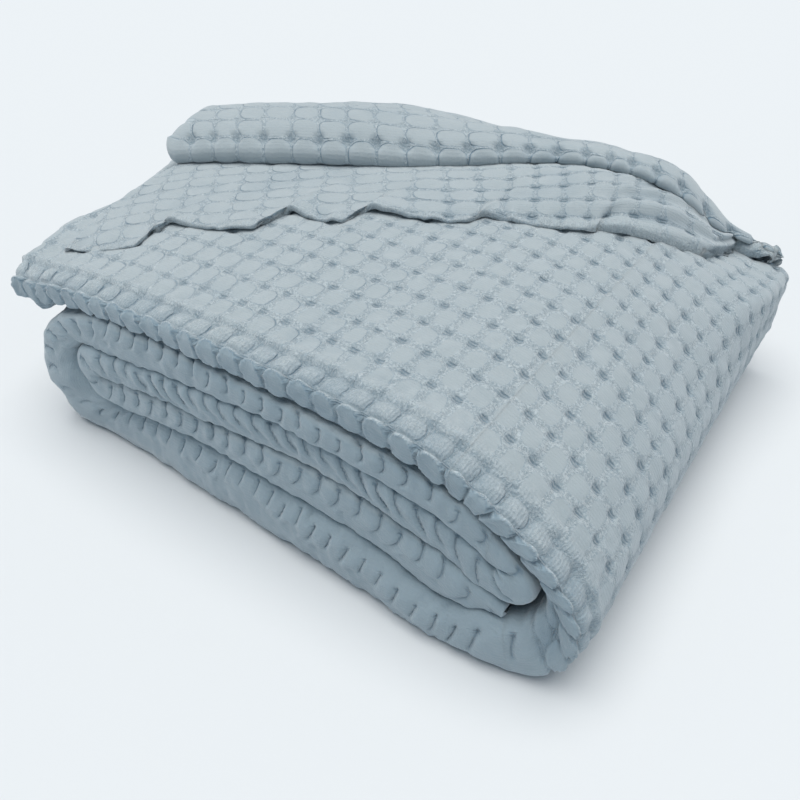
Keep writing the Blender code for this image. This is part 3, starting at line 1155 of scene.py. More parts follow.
        crest = RIM.crest * np.exp(-(((round_disc - RIM.disc_edge) / RIM.crest_width) ** 2)) * upper
        past = ease(edge / 0.10)
        lip_part = ease((edge + RIM.lip_start) / RIM.lip_at)
        waffle = weave.height + (RIM.deep + RIM.gape * bent) * (weave.cells(a, b, RIM.seed) - weave.height)
        body = lip_part * weave.height + (1.0 - lip_part) * waffle
        level = RIM.sunk * past * (1.0 - ease((b - 2.0) / 0.8))
        height = body - level - groove + lip + puff + disc * proud + crest
        return height, a, b

    def relief(self, along: Grid, section: dict) -> dict:
        """Cloth places and height of an outer skin.

        Args:
            along: Lengths along the path, one for each column.
            section: The grids made by section().

        Returns:
            Grids by name, as in Skin.
        """
        weave = self.weave
        cells = self.count_cells(along)[:, None]
        length = section["length"]
        nose = section["nose"][:, None]
        groove = (section["start"] - weave.groove_y)[:, None]
        beyond = length - groove
        wrap = self.spiral.start(Strip.RIGHT_WRAP)
        top_part = self.wrap_rim.past(along, wrap)[:, None] + 0.0 * length
        top_start = self.spiral.start(Strip.TOP)
        bent = self.top_bend.until(along, top_start)[:, None]
        left = self.top_left.past(along, top_start)[:, None]
        rim, rim_a, rim_b = self.rim_relief(cells, beyond, bent - self.left_flat * left)
        looks = {name: value[:, None] for name, value in self.looks(along).items()}
        b_up = self.b_is_upper(along)[:, None]
        middle = b_up * looks["middle"] + (1.0 - b_up) * (nose - looks["middle"])
        up = 2.0 * b_up - 1.0 + 0.0 * length
        even = cells + 0.0 * length
        ticks, tick_a, tick_b = weave.ticks(even, length - middle, up, looks, self.tick_seed)
        ticks = ticks * ease(along / self.tick_fade)[:, None] + weave.height + weave.dome
        plain_a, plain_b = weave.slipped(even, beyond / weave.cell_across, self.plain_seed)
        plain = weave.cells(plain_a, plain_b, self.plain_seed)
        past_top = ease((length + self.nose_early) / self.nose_ease)
        on_nose = past_top * (1.0 - ramp(length - nose, self.nose_rest, self.nose_ease))
        lower = on_nose * ticks + (1.0 - on_nose) * plain
        height = top_part * rim + (1.0 - top_part) * lower
        u = cells * weave.cell_along + 0.0 * length
        uneven = swells(u, length, self.broad_swells) + swells(u, length, self.fine_swells)
        height = height + uneven * (0.5 + 0.5 * ease((length + self.swell_ease) / self.swell_ease))
        waffle = np.maximum(top_part, 1.0 - on_nose)
        pick = top_part > 0.5
        mixed_a = np.where(pick, rim_a, np.where(on_nose > 0.5, tick_a, plain_a))
        mixed_b = np.where(pick, rim_b, np.where(on_nose > 0.5, tick_b, plain_b))
        faint = self.top_faint.past(along, top_start)[:, None]
        # Painted shade: the right wrap's lower end faces down and is marked to be drawn darker.
        lower_end = self.wrap_lower.until(along, wrap)[:, None]
        lower_end = lower_end * top_part * self.rim_lower.until(rim_b)
        at_groove = top_part * np.exp(-((rim_b / self.groove_blur) ** 2))
        turning = (1.0 - waffle) * np.exp(-((up / self.turning_blur) ** 2))
        shown = 1.0 - np.maximum(at_groove, turning)
        on_puffs = top_part * self.puffs_from.past(rim_b) * self.puffs_until.until(rim_b)
        sure = np.minimum(np.abs(2.0 * top_part - 1.0), np.abs(2.0 * waffle - 1.0))
        sure = shown * self.sure_from.past(sure)
        near_rim = self.rim_loose * self.loose_from.past(rim_b) - self.loose_until.past(rim_b)
        # Painted shade: the rim's discs face forward and down and are marked to be drawn darker, like the
        # front folds.
        on_discs = self.disc_shade * self.discs_from.past(rim_b)
        top_lines = self.top_lines * top_part * (1.0 - faint)
        return {
            "cloth": np.stack([u, length], axis=-1),
            "relief": height,
            "cells": np.stack([mixed_a, mixed_b], axis=-1),
            "creased": (waffle < 0.5).astype(float),
            "lined": sure * (1.0 - top_lines + self.puff_lines * on_puffs),
            "pitted": sure * (1.0 - (1.0 - self.left_pits) * top_part * left),
            "loose": np.maximum(on_puffs, top_part * near_rim),
            "shaded": lower_end + np.maximum(1.0 - top_part, on_discs) * past_top,
            "apart": top_part * (1.0 - self.left_apart * left) * self.apart_until.until(rim_b),
        }

    def shifts(self, along: Grid, share: Grid, y: Grid) -> tuple:
        """How the ends of the pile depart from the path: swollen at the back right, uneven at the left.

        Args:
            along: Lengths along the path, one for each column.
            share: Grid of shares between the two faces.
            y: Grid of y.

        Returns:
            Grids of the shift in x and in z.
        """
        outer_z = self.spiral.faces(along)[3]
        right = along > self.spiral.start(Strip.RIGHT_WRAP)
        heights, *swell = np.array(BACK_BULGE).T
        at = np.clip(outer_z, heights[0], heights[-1])
        out, up = (np.where(right, smooth_curve(heights, row, at), 0.0) for row in swell)
        back = self.back_from.past(y) * (self.back_inner + (1.0 - self.back_inner) * share)
        end = self.spiral.end(Strip.TOP)
        last = ramp(along, end - self.edge_reach, self.edge_reach)[:, None]
        places, *edges = np.array(LEFT_EDGE).T
        at = np.clip(y.reshape(-1), places[0], places[-1])
        reach, drop = (smooth_curve(places, row, at).reshape(y.shape) for row in edges)
        return out[:, None] * back - last * reach, up[:, None] * back - last * drop

    def b_is_upper(self, along: Grid) -> Grid:
        """Tell which face is the upper one.

        Args:
            along: Lengths along the path.

        Returns:
            One where face b is the upper face of its strip, nought where face a is.
        """
        lying = (Strip.FIRST, Strip.SECOND, Strip.THIRD, Strip.BASE, Strip.TOP)
        ends = [place(strip) for strip in lying for place in (self.spiral.start, self.spiral.end)]
        upper = [float(number % 2 == 0) for number in range(len(lying)) for _ in range(2)]
        return np.interp(along, ends[1:-1], upper[1:-1])

    def inner_plies(self, along: Grid, sec: dict) -> Grid:
        """Place the plies inside a strip: a fold at the back, a ply, a front fold, a ply and its hem.

        Args:
            along: Lengths along the path, one for each column.
            sec: The grids made by section().

        Returns:
            Grid of points.
        """
        pile = self.pile
        deep = sec["deep"][:, None]
        outer = sec["outer"][:, None]
        inner = outer + (1.0 - 2.0 * outer) / 3.0
        turn = np.linspace(0.0, math.pi, PLY.fold_steps + 1)[None, 1:]
        middle = 0.5 * (outer + inner)
        half = 0.5 * (inner - outer)
        fold_share = middle - half * np.cos(turn)
        fold_y = pile.back_y + half * deep * np.sin(turn)
        start = sec["start"][:, None] + pile.inner_nose_share * (deep - pile.sheet) + pile.inner_nose_set_back
        low_y = pile.back_y + (start - pile.back_y) * (1.0 - HIDDEN_ROWS[::-1])[None, 1:]
        bow = np.linspace(0.0, math.pi, PLY.inner_nose_steps + 1)[None, 1:]
        nose_share = 0.5 - (0.5 - inner) * np.cos(bow)
        nose_y = start - (0.5 - inner) * deep * np.sin(bow)
        hem_y = pile.back_y - PLY.inner_hem
        high_y = start + (hem_y - start) * HIDDEN_ROWS[None, 1:]
        turns = np.linspace(0.0, math.pi, PLY.hem_steps + 1)[1:]
        tuck_share, tuck_y = self.tuck(1.0 - inner, hem_y, deep, turns)
        share = [fold_share, inner + 0.0 * low_y, nose_share, 1.0 - inner + 0.0 * high_y, tuck_share]
        y = [fold_y, low_y, nose_y, high_y, tuck_y]
        share.append(tuck_share[:, -1:])
        y.append(tuck_y[:, -1:] - PLY.hem_return)
        return self.place(along, np.concatenate(share, axis=1), np.concatenate(y, axis=1))

    def outer_hem(self, along: Grid, sec: dict) -> Grid:
        """Place the turned under hem at the back of a strip's outer ply.

        Args:
            along: Lengths along the path, one for each column.
            sec: The grids made by section().

        Returns:
            Grid of points.
        """
        pile = self.pile
        turns = np.linspace(math.pi, 0.0, PLY.hem_steps + 1)[:-1]
        share, y = self.tuck(1.0 - sec["outer"][:, None], pile.back_y, sec["deep"][:, None], turns)
        share = np.concatenate([share[:, :1], share], axis=1)
        y = np.concatenate([y[:, :1] - PLY.hem_return, y], axis=1)
        return self.place(along, share, y)

    @staticmethod
    def tuck(share: Grid, y: float, deep: Grid, turns: Grid) -> tuple:
        """Turn a hem under in a half circle.

        Args:
            share: Share between the faces at which the ply lies, for each column.
            y: Where the hem's edge is.
            deep: Distance between the faces, for each column.
            turns: Angles of the rows, from 0 on the ply to pi under it.

        Returns:
            Grids of share and y.
        """
        turns = turns[None, :]
        under = share - 0.5 * (PLY.hem / deep) * (1.0 - np.cos(turns))
        return under, y + 0.5 * PLY.hem * np.sin(turns) + 0.0 * under

    def build(self, along: Grid, top_rows: Grid, nose_rows: int) -> Skin:
        """Skin of one part of the path with all four plies.

        Args:
            along: Lengths along the path, one for each column.
            top_rows: Shares from the back edge to the front fold on face b.
            nose_rows: Steps round the front fold.

        Returns:
            The skin, from the hem of the outer ply to the hem of the inner one.
        """
        weave = self.weave
        sec = self.section(along, top_rows, nose_rows, HIDDEN_ROWS)
        front = self.relief(along, sec)
        cloth = front["cloth"]
        height = front["relief"]
        points = self.place(along, sec["share"], sec["y"])
        lifted = points + outward(points) * (height - weave.height - weave.dome + PLY.skin_top)[..., None]
        inner_points = self.inner_plies(along, sec)
        joined = np.concatenate([points[:, -1:], inner_points], axis=1)
        steps = np.linalg.norm(np.diff(joined, axis=1), axis=-1)
        run = cloth[:, -1:, 1] + np.cumsum(steps, axis=1)
        u = cloth[:, -1:, 0] + 0.0 * run
        counted = self.count_cells(along)[:, None] + 0.0 * run
        soft_a, soft_b = weave.slipped(counted, run / weave.cell_across, 19)
        soft = weave.cells(soft_a, soft_b, 19)
        inner_height = PLY.inner_puff * (soft - PLY.inner_level * weave.height)
        normals = outward(joined)[:, 1:]
        first = height[:, -1:] - weave.height - weave.dome + PLY.skin_top
        share = ease((run - cloth[:, -1:, 1]) / PLY.inner_ease)
        inner_height = share * inner_height + (1.0 - share) * first
        inner_lifted = inner_points + normals * inner_height[..., None]
        edge_points = self.outer_hem(along, sec)
        rows = edge_points.shape[1]
        rising = np.linspace(0.0, 1.0, rows + 1)[None, :-1, None]
        edge_points = edge_points + (lifted[:, :1] - points[:, :1]) * rising
        edge_length = cloth[:, :1, 1] - np.linspace(PLY.hem_cloth, 0.0, rows + 1)[None, :-1]
        edge_cloth = np.stack([u[:, :1] + 0.0 * edge_length, edge_length], axis=-1)
        all_points = np.concatenate([edge_points, lifted, inner_lifted], axis=1)
        all_points[..., 2] = np.maximum(all_points[..., 2], PLY.floor)
        flat = np.full(edge_length.shape, weave.height)
        none = 0.0 * flat
        inner_cells = np.stack([soft_a, soft_b], axis=-1)
        skin = Skin(
            all_points,
            np.concatenate([edge_cloth, cloth, np.stack([u, run], axis=-1)], axis=1),
            np.concatenate([flat, height, soft], axis=1),
            np.concatenate([0.0 * edge_cloth, front["cells"], inner_cells], axis=1),
            {title: np.concatenate([none, front[title], 0.0 * soft], axis=1) for title in MARKS},
        )
        return self.closed_start(skin) if along[0] < self.start_reach else skin

    def closed_start(self, skin: Skin) -> Skin:
        """Close the open start of a skin with a rounded hem.

        Args:
            skin: The skin of the innermost strip, whose first columns are its end.

        Returns:
            The skin with columns added that draw together toward the middle of its end.
        """
        edge = skin.points[0]
        middle = 0.5 * (edge + edge[::-1])
        inner = np.array([0.0, 0.0, 1.0]) * (edge - middle)
        turn = np.linspace(0.0, 0.5 * math.pi, self.end_columns + 1)[1:, None, None]
        away = np.array([1.0, 0.0, 0.0]) * self.end_reach * np.sin(turn)
        added = (edge - inner + inner * np.cos(turn) + away)[::-1]

        def extended(grid: Grid) -> Grid:
            """Repeat the first column for every column added."""
            return np.concatenate([np.repeat(grid[:1], len(added), axis=0), grid])

        marks = {title: extended(grid) for title, grid in skin.marks.items()}
        points = np.concatenate([added, skin.points])
        return Skin(points, extended(skin.cloth), extended(skin.relief), extended(skin.cells), marks)


class Outline(NamedTuple):
    """Corner points of the turned back ply's section, one row for each column of the grid.

    It holds grids of y and height above the top ply, the corner's number at each end of
    the row groups, the roll's front and core, and the hem's place, shift and lift.
    """

    ys: Grid
    hs: Grid
    marks: list
    roll_y: Grid
    core_y: Grid
    core_h: Grid
    hem_y: Grid
    hem_shift: Grid
    hem_lift: Grid


@dataclass
class TurnBack:
    """The top layer turned back over itself: a soft roll and a flap that ends in a hem."""

    spiral: Spiral
    weave: Weave
    first_x: float = -0.180
    last_x: float = 0.228
    flap_start: float = 0.20
    flap_curl: float = 1.6
    flap_opening: float = 0.080
    crest_length: float = 0.048
    crest_share: float = 0.40
    hump_share: float = 0.62
    back_share: float = 0.45
    behind_share: float = 0.76
    dip_depth: float = 0.004
    pit_depth: float = 0.0026
    pleat_length: float = 0.062
    pleat_share: float = 0.60
    back_rise: float = 0.0030
    pleat_gap: float = 0.0036
    heading: float = math.radians(33.0)
    along_cell: float = 0.0216
    across_cell: float = 0.0160
    raise_all: float = 0.0006
    cap_reach: float = 0.012
    cap_columns: int = 9
    cap_right: float = 0.35
    core_rest: float = 0.003
    narrow_end: float = 0.15
    narrow_length: float = 0.020
    tuck_steps: int = 6
    tuck_return: float = 0.010
    hem_thick: float = 0.0021
    hem_rest: float = 1.05
    hem_blur: float = 0.0016
    bow_parts: tuple = (0.0, 0.15, 0.3, 0.5, 0.7, 0.85, 1.0)
    bow_hang: float = 0.004
    gather_reach: float = 0.45
    gather_lean: float = -0.006
    gather_lift: float = 0.0050
    roll_relief: float = 0.35
    pit_width: float = 0.20
    pit_reach: float = 0.0042
    slit_width: float = 0.35
    slit_at: float = 0.005
    slit_reach: float = 0.0045
    pucker_reach: float = 0.016
    folds_from: float = 0.085
    folds_ease: float = 0.060
    fold_height: float = 0.0013
    fold_wander: float = 2.4
    fold_width: float = 0.0030
    right_from: Span = Span(-0.04, 0.12)
    roll_offset: float = 0.25
    flap_relief: float = 0.22
    flap_relief_right: float = 0.60
    flap_relief_uneven: float = 0.12
    pucker_rest: float = 0.002
    fine_stretch: float = 0.3
    broad_stretch: float = 0.4
    wander_size: float = 0.07
    roll_lines: float = 1.7
    flap_lines: float = 1.5
    flap_lines_right: float = -0.8
    roll_pits: float = 0.12
    flap_pits: float = 0.15
    flap_pits_right: float = 0.75
    right_apart: float = 0.35
    hem_loose: float = 0.008
    weave_seed: int = 71
    broad_swells: tuple = (Swell(0.0009, 0.040, 79), Swell(0.0006, 0.013, 80))
    fine_pucker: tuple = (Swell(0.0011, 0.0046, 83),)
    broad_pucker: tuple = (Swell(0.0014, 0.0105, 85),)
    plain_hem: tuple = ((-0.180, -0.190), (0.0, -0.045), (0.130, 0.040), (0.236, 0.160))
    flap_parts: tuple = (0.30, 0.65, 1.0)
    roll_front: tuple = ((2.5, 0.89), (1.35, 0.72), (0.60, 0.50), (0.10, 0.26), (0.15, 0.08), (0.70, 0.0))
    row_counts: tuple = (88, 26, 8, 7, 90)

    def hem(self, x: Grid) -> tuple:
        """Place and lift of the gathered hem below the places x.

        Each bow hangs forward in its middle. Where it is gathered into the next one the hem
        stands up and leans back along the pile.

        Args:
            x: Places along the roll, one for each column.

        Returns:
            Place along the pile, place across it, and lift above the cloth, for each column.
        """
        rows = []
        for number, bow in enumerate(HEM_BOWS):
            for part in self.bow_parts:
                place = bow.first + part * (bow.last - bow.first)
                hang = self.bow_hang * math.sin(math.pi * part)
                gathered = max(0.0, 1.0 - part / self.gather_reach) if number else 0.0
                along = place + bow.shift + self.gather_lean * gathered
                across = bow.from_y + part * (bow.to_y - bow.from_y) - hang
                lift = bow.lift + (max(self.gather_lift, bow.lift) - bow.lift) * gathered
                rows.append((place, along, across, lift))
        table = np.array(rows)
        places, *values = table.T
        around = [x + step * self.hem_blur for step in (-1.0, -0.4, 0.4, 1.0)]
        return tuple(np.mean([np.interp(at, places, row) for at in around], axis=0) for row in values)

    def outline(self, x: Grid) -> Outline:
        """Corner points of the folded section at each place x.

        Args:
            x: Places along the pile, one for each column.

        Returns:
            The outline.
        """
        back_y = self.spiral.pile.back_y + 0.0 * x
        look = {name: column(TURN_BACK, name, x) for name in Turn._fields[1:]}
        hem_x, hem_y, hem_lift = self.hem(x)
        roll_y = look["roll_y"]
        low = look["low"]
        crest = look["crest"]
        hump = look["hump"]
        room = back_y - roll_y
        pleat = np.minimum(self.pleat_length, self.pleat_share * room)
        radius = 0.5 * (crest - low)
        ys = [back_y]
        hs = [0.0 * x]
        for step in (1, 2):
            turn = math.pi * step / 3.0
            ys.append(back_y + self.back_rise * math.sin(turn))
            hs.append(0.5 * self.back_share * hump * (1.0 - math.cos(turn)))
        crest_y = roll_y + np.minimum(self.crest_length, self.crest_share * room)
        hump_y = roll_y + self.hump_share * room
        dip = 0.5 * (crest + hump) - self.dip_depth * np.minimum(1.0, hump / crest)
        ys += [back_y, 0.5 * (back_y + hump_y), hump_y, 0.5 * (hump_y + crest_y), crest_y]
        hs += [self.back_share * hump, self.behind_share * hump, hump, dip, crest]
        marks = [0, len(ys)]
        for back, height in self.roll_front:
            ys.append(roll_y + back * radius)
            hs.append(low + height * (crest - low))
        marks.append(len(ys) - 1)
        inner_back = roll_y + pleat
        below = np.minimum(look["under"], low - self.pleat_gap)
        end_low = below + self.pleat_gap
        ys += [0.5 * (roll_y + inner_back), inner_back, inner_back + 0.5 * self.pleat_gap, inner_back]
        hs += [0.5 * (low + end_low), end_low, 0.5 * (end_low + below), below]
        marks.append(len(ys) - 1)
        ys.append(roll_y + self.flap_start * pleat)
        hs.append(look["under"])
        marks.append(len(ys) - 1)
        for part in self.flap_parts:
            ys.append(roll_y + part * (hem_y - roll_y))
            hs.append(look["under"] + (hem_lift - look["under"]) * part**self.flap_curl)
        marks.append(len(ys) - 1)
        core_y = roll_y + radius
        core_h = 0.5 * (crest + low)
        shift = hem_x - x
        return Outline(np.array(ys).T, np.array(hs).T, marks, roll_y, core_y, core_h, hem_y, shift, hem_lift)

    def rows(self, outline: Outline) -> tuple:
        """Smooth the corner points of every column and divide them into rows.

        Args:
            outline: The corner points.

        Returns:
            Grid of y, grid of height, and the group number of every row.
        """
        counts = self.row_counts
        group = np.concatenate([np.full(n, k) for k, n in enumerate(counts)] + [[len(counts) - 1]])
        out_y = []
        out_h = []
        marks = outline.marks
        for y, h in zip(outline.ys, outline.hs):
            knots = np.concatenate([[0.0], np.cumsum(np.hypot(np.diff(y), np.diff(h)) + 1e-5)])
            want = [np.linspace(knots[a], knots[b], n + 1)[:-1] for a, b, n in zip(marks, marks[1:], counts)]
            want = np.concatenate(want + [[knots[marks[-1]]]])
            out_y.append(smooth_curve(knots, y, want))
            out_h.append(smooth_curve(knots, h, want))
        return np.array(out_y), np.array(out_h), group

    def relief(self, x: Grid, outline: Outline, ys: Grid, hs: Grid, group: Grid) -> dict:
        """Cloth places and height of the turned back ply.

        Args:
            x: Places along the pile, one for each column.
            outline: The corner points.
            ys: Grid of y.
            hs: Grid of heights.
            group: Number of the row group of each row.

        Returns:
            Grids by name, as in Skin.
        """
        weave = self.weave
        cosine = math.cos(self.heading)
        sine = math.sin(self.heading)
        front = outline.roll_y[:, None]
        hem = outline.hem_y[:, None]
        plain_hem = np.interp(x, *zip(*self.plain_hem))[:, None]
        step = np.hypot(cosine * np.diff(ys, axis=1), np.diff(hs, axis=1))
        run = np.concatenate([np.zeros((len(x), 1)), np.cumsum(step, axis=1)], axis=1)
        roll_row = int(np.argmax(group == 1)) + self.row_counts[1] // 2
        from_roll = run - run[:, roll_row][:, None]
        from_hem = (ys - hem) * cosine
        from_line = (ys - plain_hem) * cosine
        lane = (x[:, None] / cosine + sine * (ys - front)) / self.along_cell
        flap = (group >= 3)[None, :] + 0.0 * ys > 0.5
        w = np.where(flap, from_line, from_roll)
        v = lane * self.along_cell
        rows = w / self.across_cell
        a, b = weave.slipped(lane + np.where(flap, 0.0, self.roll_offset), rows, self.weave_seed)
        height = weave.cells(a, b, self.weave_seed)
        right_part = self.right_from.past(x)[:, None] + 0.0 * ys
        uneven = self.flap_relief_uneven * soft_noise(lane, rows, 3.0, self.weave_seed + 6)
        soft = self.flap_relief + self.flap_relief_right * right_part + uneven
        on_roll = self.roll_relief * height + (1.0 - self.roll_relief) * weave.height
        height = np.where(flap, weave.height * (1.0 - soft) + soft * height, on_roll)
        beside = (a - np.floor(a + 0.5)) / self.pit_width
        pit = np.exp(-(beside**4) - (from_roll / self.pit_reach) ** 4) * (1.0 - flap)
        below_pit = (from_roll - self.slit_at) / self.slit_reach
        slit = np.exp(-((beside / self.slit_width) ** 2) - below_pit**4) * (1.0 - flap)
        height = height - self.pit_depth * pit - 0.5 * self.pit_depth * slit
        for part in self.broad_swells:
            height = height + swells(v, w, (part,))
        near_hem = 1.0 - ramp(from_hem, self.pucker_rest, self.pucker_reach)
        pucker = swells(v, self.fine_stretch * w, self.fine_pucker)
        pucker = pucker + swells(v, self.broad_stretch * w, self.broad_pucker)
        right = ramp(x, self.folds_from, self.folds_ease)[:, None]
        wander = self.fold_wander * soft_noise(v, w, self.wander_size, self.weave_seed + 16)
        folds = self.fold_height * np.sin(from_hem / self.fold_width + wander) * right
        height = np.where(flap, height + pucker * near_hem + folds, height)
        jump = np.abs(np.gradient((group >= 3).astype(float)))[None, :] + 0.0 * ys
        lines = np.where(flap, self.flap_lines + self.flap_lines_right * right_part, self.roll_lines)
        pits = np.where(flap, self.flap_pits + self.flap_pits_right * right_part, self.roll_pits)
        return {
            "cloth": np.stack([v, w], axis=-1),
            "relief": height,
            "cells": np.stack([a, b], axis=-1),
            "creased": 0.0 * height,
            "lined": np.where(jump > 0.0, 0.0, lines),
            "pitted": np.where(jump > 0.0, 0.0, pits),
            "loose": np.where(flap, 1.0 - ease(from_hem / self.hem_loose), 0.0),
            "shaded": 0.0 * height,
            "apart": np.where(flap, self.right_apart * right_part, 0.0),
        }

    def hem_tuck(self, x: Grid, outline: Outline, lifted: Grid) -> Grid:
        """Turn the flap's hem under, down to the cloth it lies on.

        Args:
            x: Places along the pile, one for each column.
            outline: The corner points.
            lifted: Grid of the ply's points, whose last row is the hem.

        Returns:
            Grid of the points under the hem.
        """
        hem = lifted[:, -1:]
        inward = lifted[:, -6:-5] - hem
        inward /= np.maximum(np.linalg.norm(inward, axis=-1, keepdims=True), 1e-9)
        bend = np.linspace(0.0, math.pi, self.tuck_steps + 1)[None, 1:, None]
        drop = np.array([0.0, 0.0, -1.0])
        from_end = np.minimum(x - x.min(), x.max() - x)
        narrowed = np.minimum(1.0, self.narrow_end + from_end / self.narrow_length)[:, None, None]
        down = np.maximum(self.hem_thick, self.hem_rest * outline.hem_lift)[:, None, None]
        fall = 0.5 * down * (1.0 - np.cos(bend)) * drop
        tuck = hem + narrowed * (fall - 0.5 * self.hem_thick * np.sin(bend) * inward)
        return np.concatenate([tuck, tuck[:, -1:] + self.tuck_return * inward], axis=1)

    def build(self) -> Skin:
        """Build the roll and flap, with closed ends and a turned under hem.

        Returns:
            The skin, from the back edge to the hem.
        """
        pile = self.spiral.pile
        count = round((self.last_x - self.first_x) / PLY.grid)
        cap = np.linspace(1.0, 0.0, self.cap_columns + 1)[:-1]
        closed = np.concatenate([cap, np.zeros(count + 1), cap[::-1]])
        inside = np.linspace(self.last_x, self.first_x, count + 1)
        x = np.concatenate([np.full(len(cap), self.last_x), inside, np.full(len(cap), self.first_x)])
        side = np.concatenate([np.full(len(cap), 1.0), np.zeros(count + 1), np.full(len(cap), -1.0)])
        reach = np.where(side > 0.0, self.cap_right * self.cap_reach, self.cap_reach)
        knots = [row.x for row in UPPER_LAYER] + [row.x for row in LEDGE]
        heights = [row.top for row in UPPER_LAYER] + [row.z for row in LEDGE]
        base_z = (smooth_curve(knots, heights, x) - pile.strip_gap - 0.5 * pile.sheet)[:, None]
        outline = self.outline(x)
        ys, hs, group = self.rows(outline)
        front = self.relief(x, outline, ys, hs, group)
        cloth = front["cloth"]
        height = front["relief"]
        shrink = np.cos(0.5 * math.pi * closed)[:, None]
        rolled = (group <= 2)[None, :] + 0.0 * ys
        core_y = outline.core_y[:, None]
        ahead = ys < core_y
        round_y = np.where(ahead, core_y + (ys - core_y) * shrink, ys)
        core_h = outline.core_h[:, None]
        core_h = np.where(ahead, core_h, np.minimum(core_h, 0.5 * hs + self.core_rest))
        round_h = core_h + (hs - core_h) * shrink
        turn = math.pi * closed[:, None]
        flap_h = hs - 0.5 * self.hem_thick * (1.0 - np.cos(turn))
        past_end = rolled * np.sin(0.5 * math.pi * closed)[:, None] * reach[:, None]
        past_end = past_end + (1.0 - rolled) * 0.5 * self.hem_thick * np.sin(turn)
        ys = np.where(rolled > 0.5, round_y, ys)
        hs = np.where(rolled > 0.5, round_h, flap_h)
        away = np.clip((ys - outline.hem_y[:, None]) / self.flap_opening, 0.0, 1.0)
        at_hem = (1.0 - rolled) * (1.0 - away) ** 2
        shift = at_hem * outline.hem_shift[:, None]
        points = pile.spread_out(x[:, None] + side[:, None] * past_end + shift, ys, base_z + hs)
        rise = height - self.weave.height - self.weave.dome + PLY.skin_top + self.raise_all
        lifted = points + outward(points) * rise[..., None]
        hidden = self.hem_tuck(x, outline, lifted)
        extra = hidden.shape[1]
        v = np.repeat(cloth[:, -1:, 0], extra, axis=1)
        w = cloth[:, -1:, 1] - np.linspace(0.001, 0.016, extra)[None, :]
        under = np.repeat(front["cells"][:, -1:], extra, axis=1)
        none = np.zeros((len(x), extra))
        return Skin(
            np.concatenate([lifted, hidden], axis=1),
            np.concatenate([cloth, np.stack([v, w], axis=-1)], axis=1),
            np.concatenate([height, np.repeat(height[:, -1:], extra, axis=1)], axis=1),
            np.concatenate([front["cells"], under], axis=1),
            {title: np.concatenate([front[title], none + (title == "loose")], axis=1) for title in MARKS},
        )


# ---- finish ---------------------------------------------------------------------
WAVE_PERIOD = 0.314  # bands of Blender's wave texture at scale 1 are this far apart


def linear(hex_colour: str) -> tuple:
    """Turn an sRGB hex colour into linear red, green, blue and alpha."""
    values = [int(hex_colour[k : k + 2], 16) / 255.0 for k in (1, 3, 5)]
    return tuple(v / 12.92 if v <= 0.04045 else ((v + 0.055) / 1.055) ** 2.4 for v in values) + (1.0,)


def add_node(tree: Tree, kind: str, settings: dict, links: dict) -> bpy.types.Node:
    """Add a node with its settings, socket values and links.

    Args:
        tree: Node tree to add to.
        kind: Blender's name of the node type.
        settings: Node properties by name; a key that is a socket's name or number sets that socket.
        links: Output sockets to join, by the name or number of the input socket.

    Returns:
        The new node.
    """
    node = tree.nodes.new(kind)
    for name, value in settings.items():
        if isinstance(name, str) and hasattr(node, name):
            setattr(node, name, value)
        else:
            node.inputs[name].default_value = value
    for name, source in links.items():
        tree.links.new(source, node.inputs[name])
    return node


def reckon(tree: Tree, operation: str, *values: float | Socket) -> Socket:
    """Add a Math node.

    Args:
        tree: Node tree to add to.
        operation: Blender's name of the operation.
        values: Its inputs, each a number or an output socket.

    Returns:
        The result socket.
    """
    fixed = {k: v for k, v in enumerate(values) if isinstance(v, (int, float))}
    linked = {k: v for k, v in enumerate(values) if not isinstance(v, (int, float))}
    return add_node(tree, "ShaderNodeMath", {"operation": operation, **fixed}, linked).outputs[0]


def fade(tree: Tree, value: Socket, full: float, none: float) -> Socket:
    """Add a soft step.

    Args:
        tree: Node tree to add to.
        value: Socket to read.
        full: Value at which the result is one.
        none: Value at which it is nought.

    Returns:
        The result socket.
    """
    ends = {"From Min": full, "From Max": none, "To Min": 1.0, "To Max": 0.0}
    settings = {"interpolation_type": "SMOOTHSTEP", **ends}
    return add_node(tree, "ShaderNodeMapRange", settings, {"Value": value}).outputs["Result"]


def blend(tree: Tree, share: Socket, first: tuple | Socket, second: tuple | Socket) -> Socket:
    """Mix two colours, each a linear colour or an output socket.

    Args:
        tree: Node tree to add to.
        share: Share of the second colour.
        first: The first colour.
        second: The second colour.

    Returns:
        The colour socket.
    """
    ends = {6: first, 7: second}
    fixed = {k: v for k, v in ends.items() if isinstance(v, tuple)}
    linked = {k: v for k, v in ends.items() if not isinstance(v, tuple)}
    node = add_node(tree, "ShaderNodeMix", {"data_type": "RGBA", **fixed}, {0: share, **linked})
    return node.outputs[2]


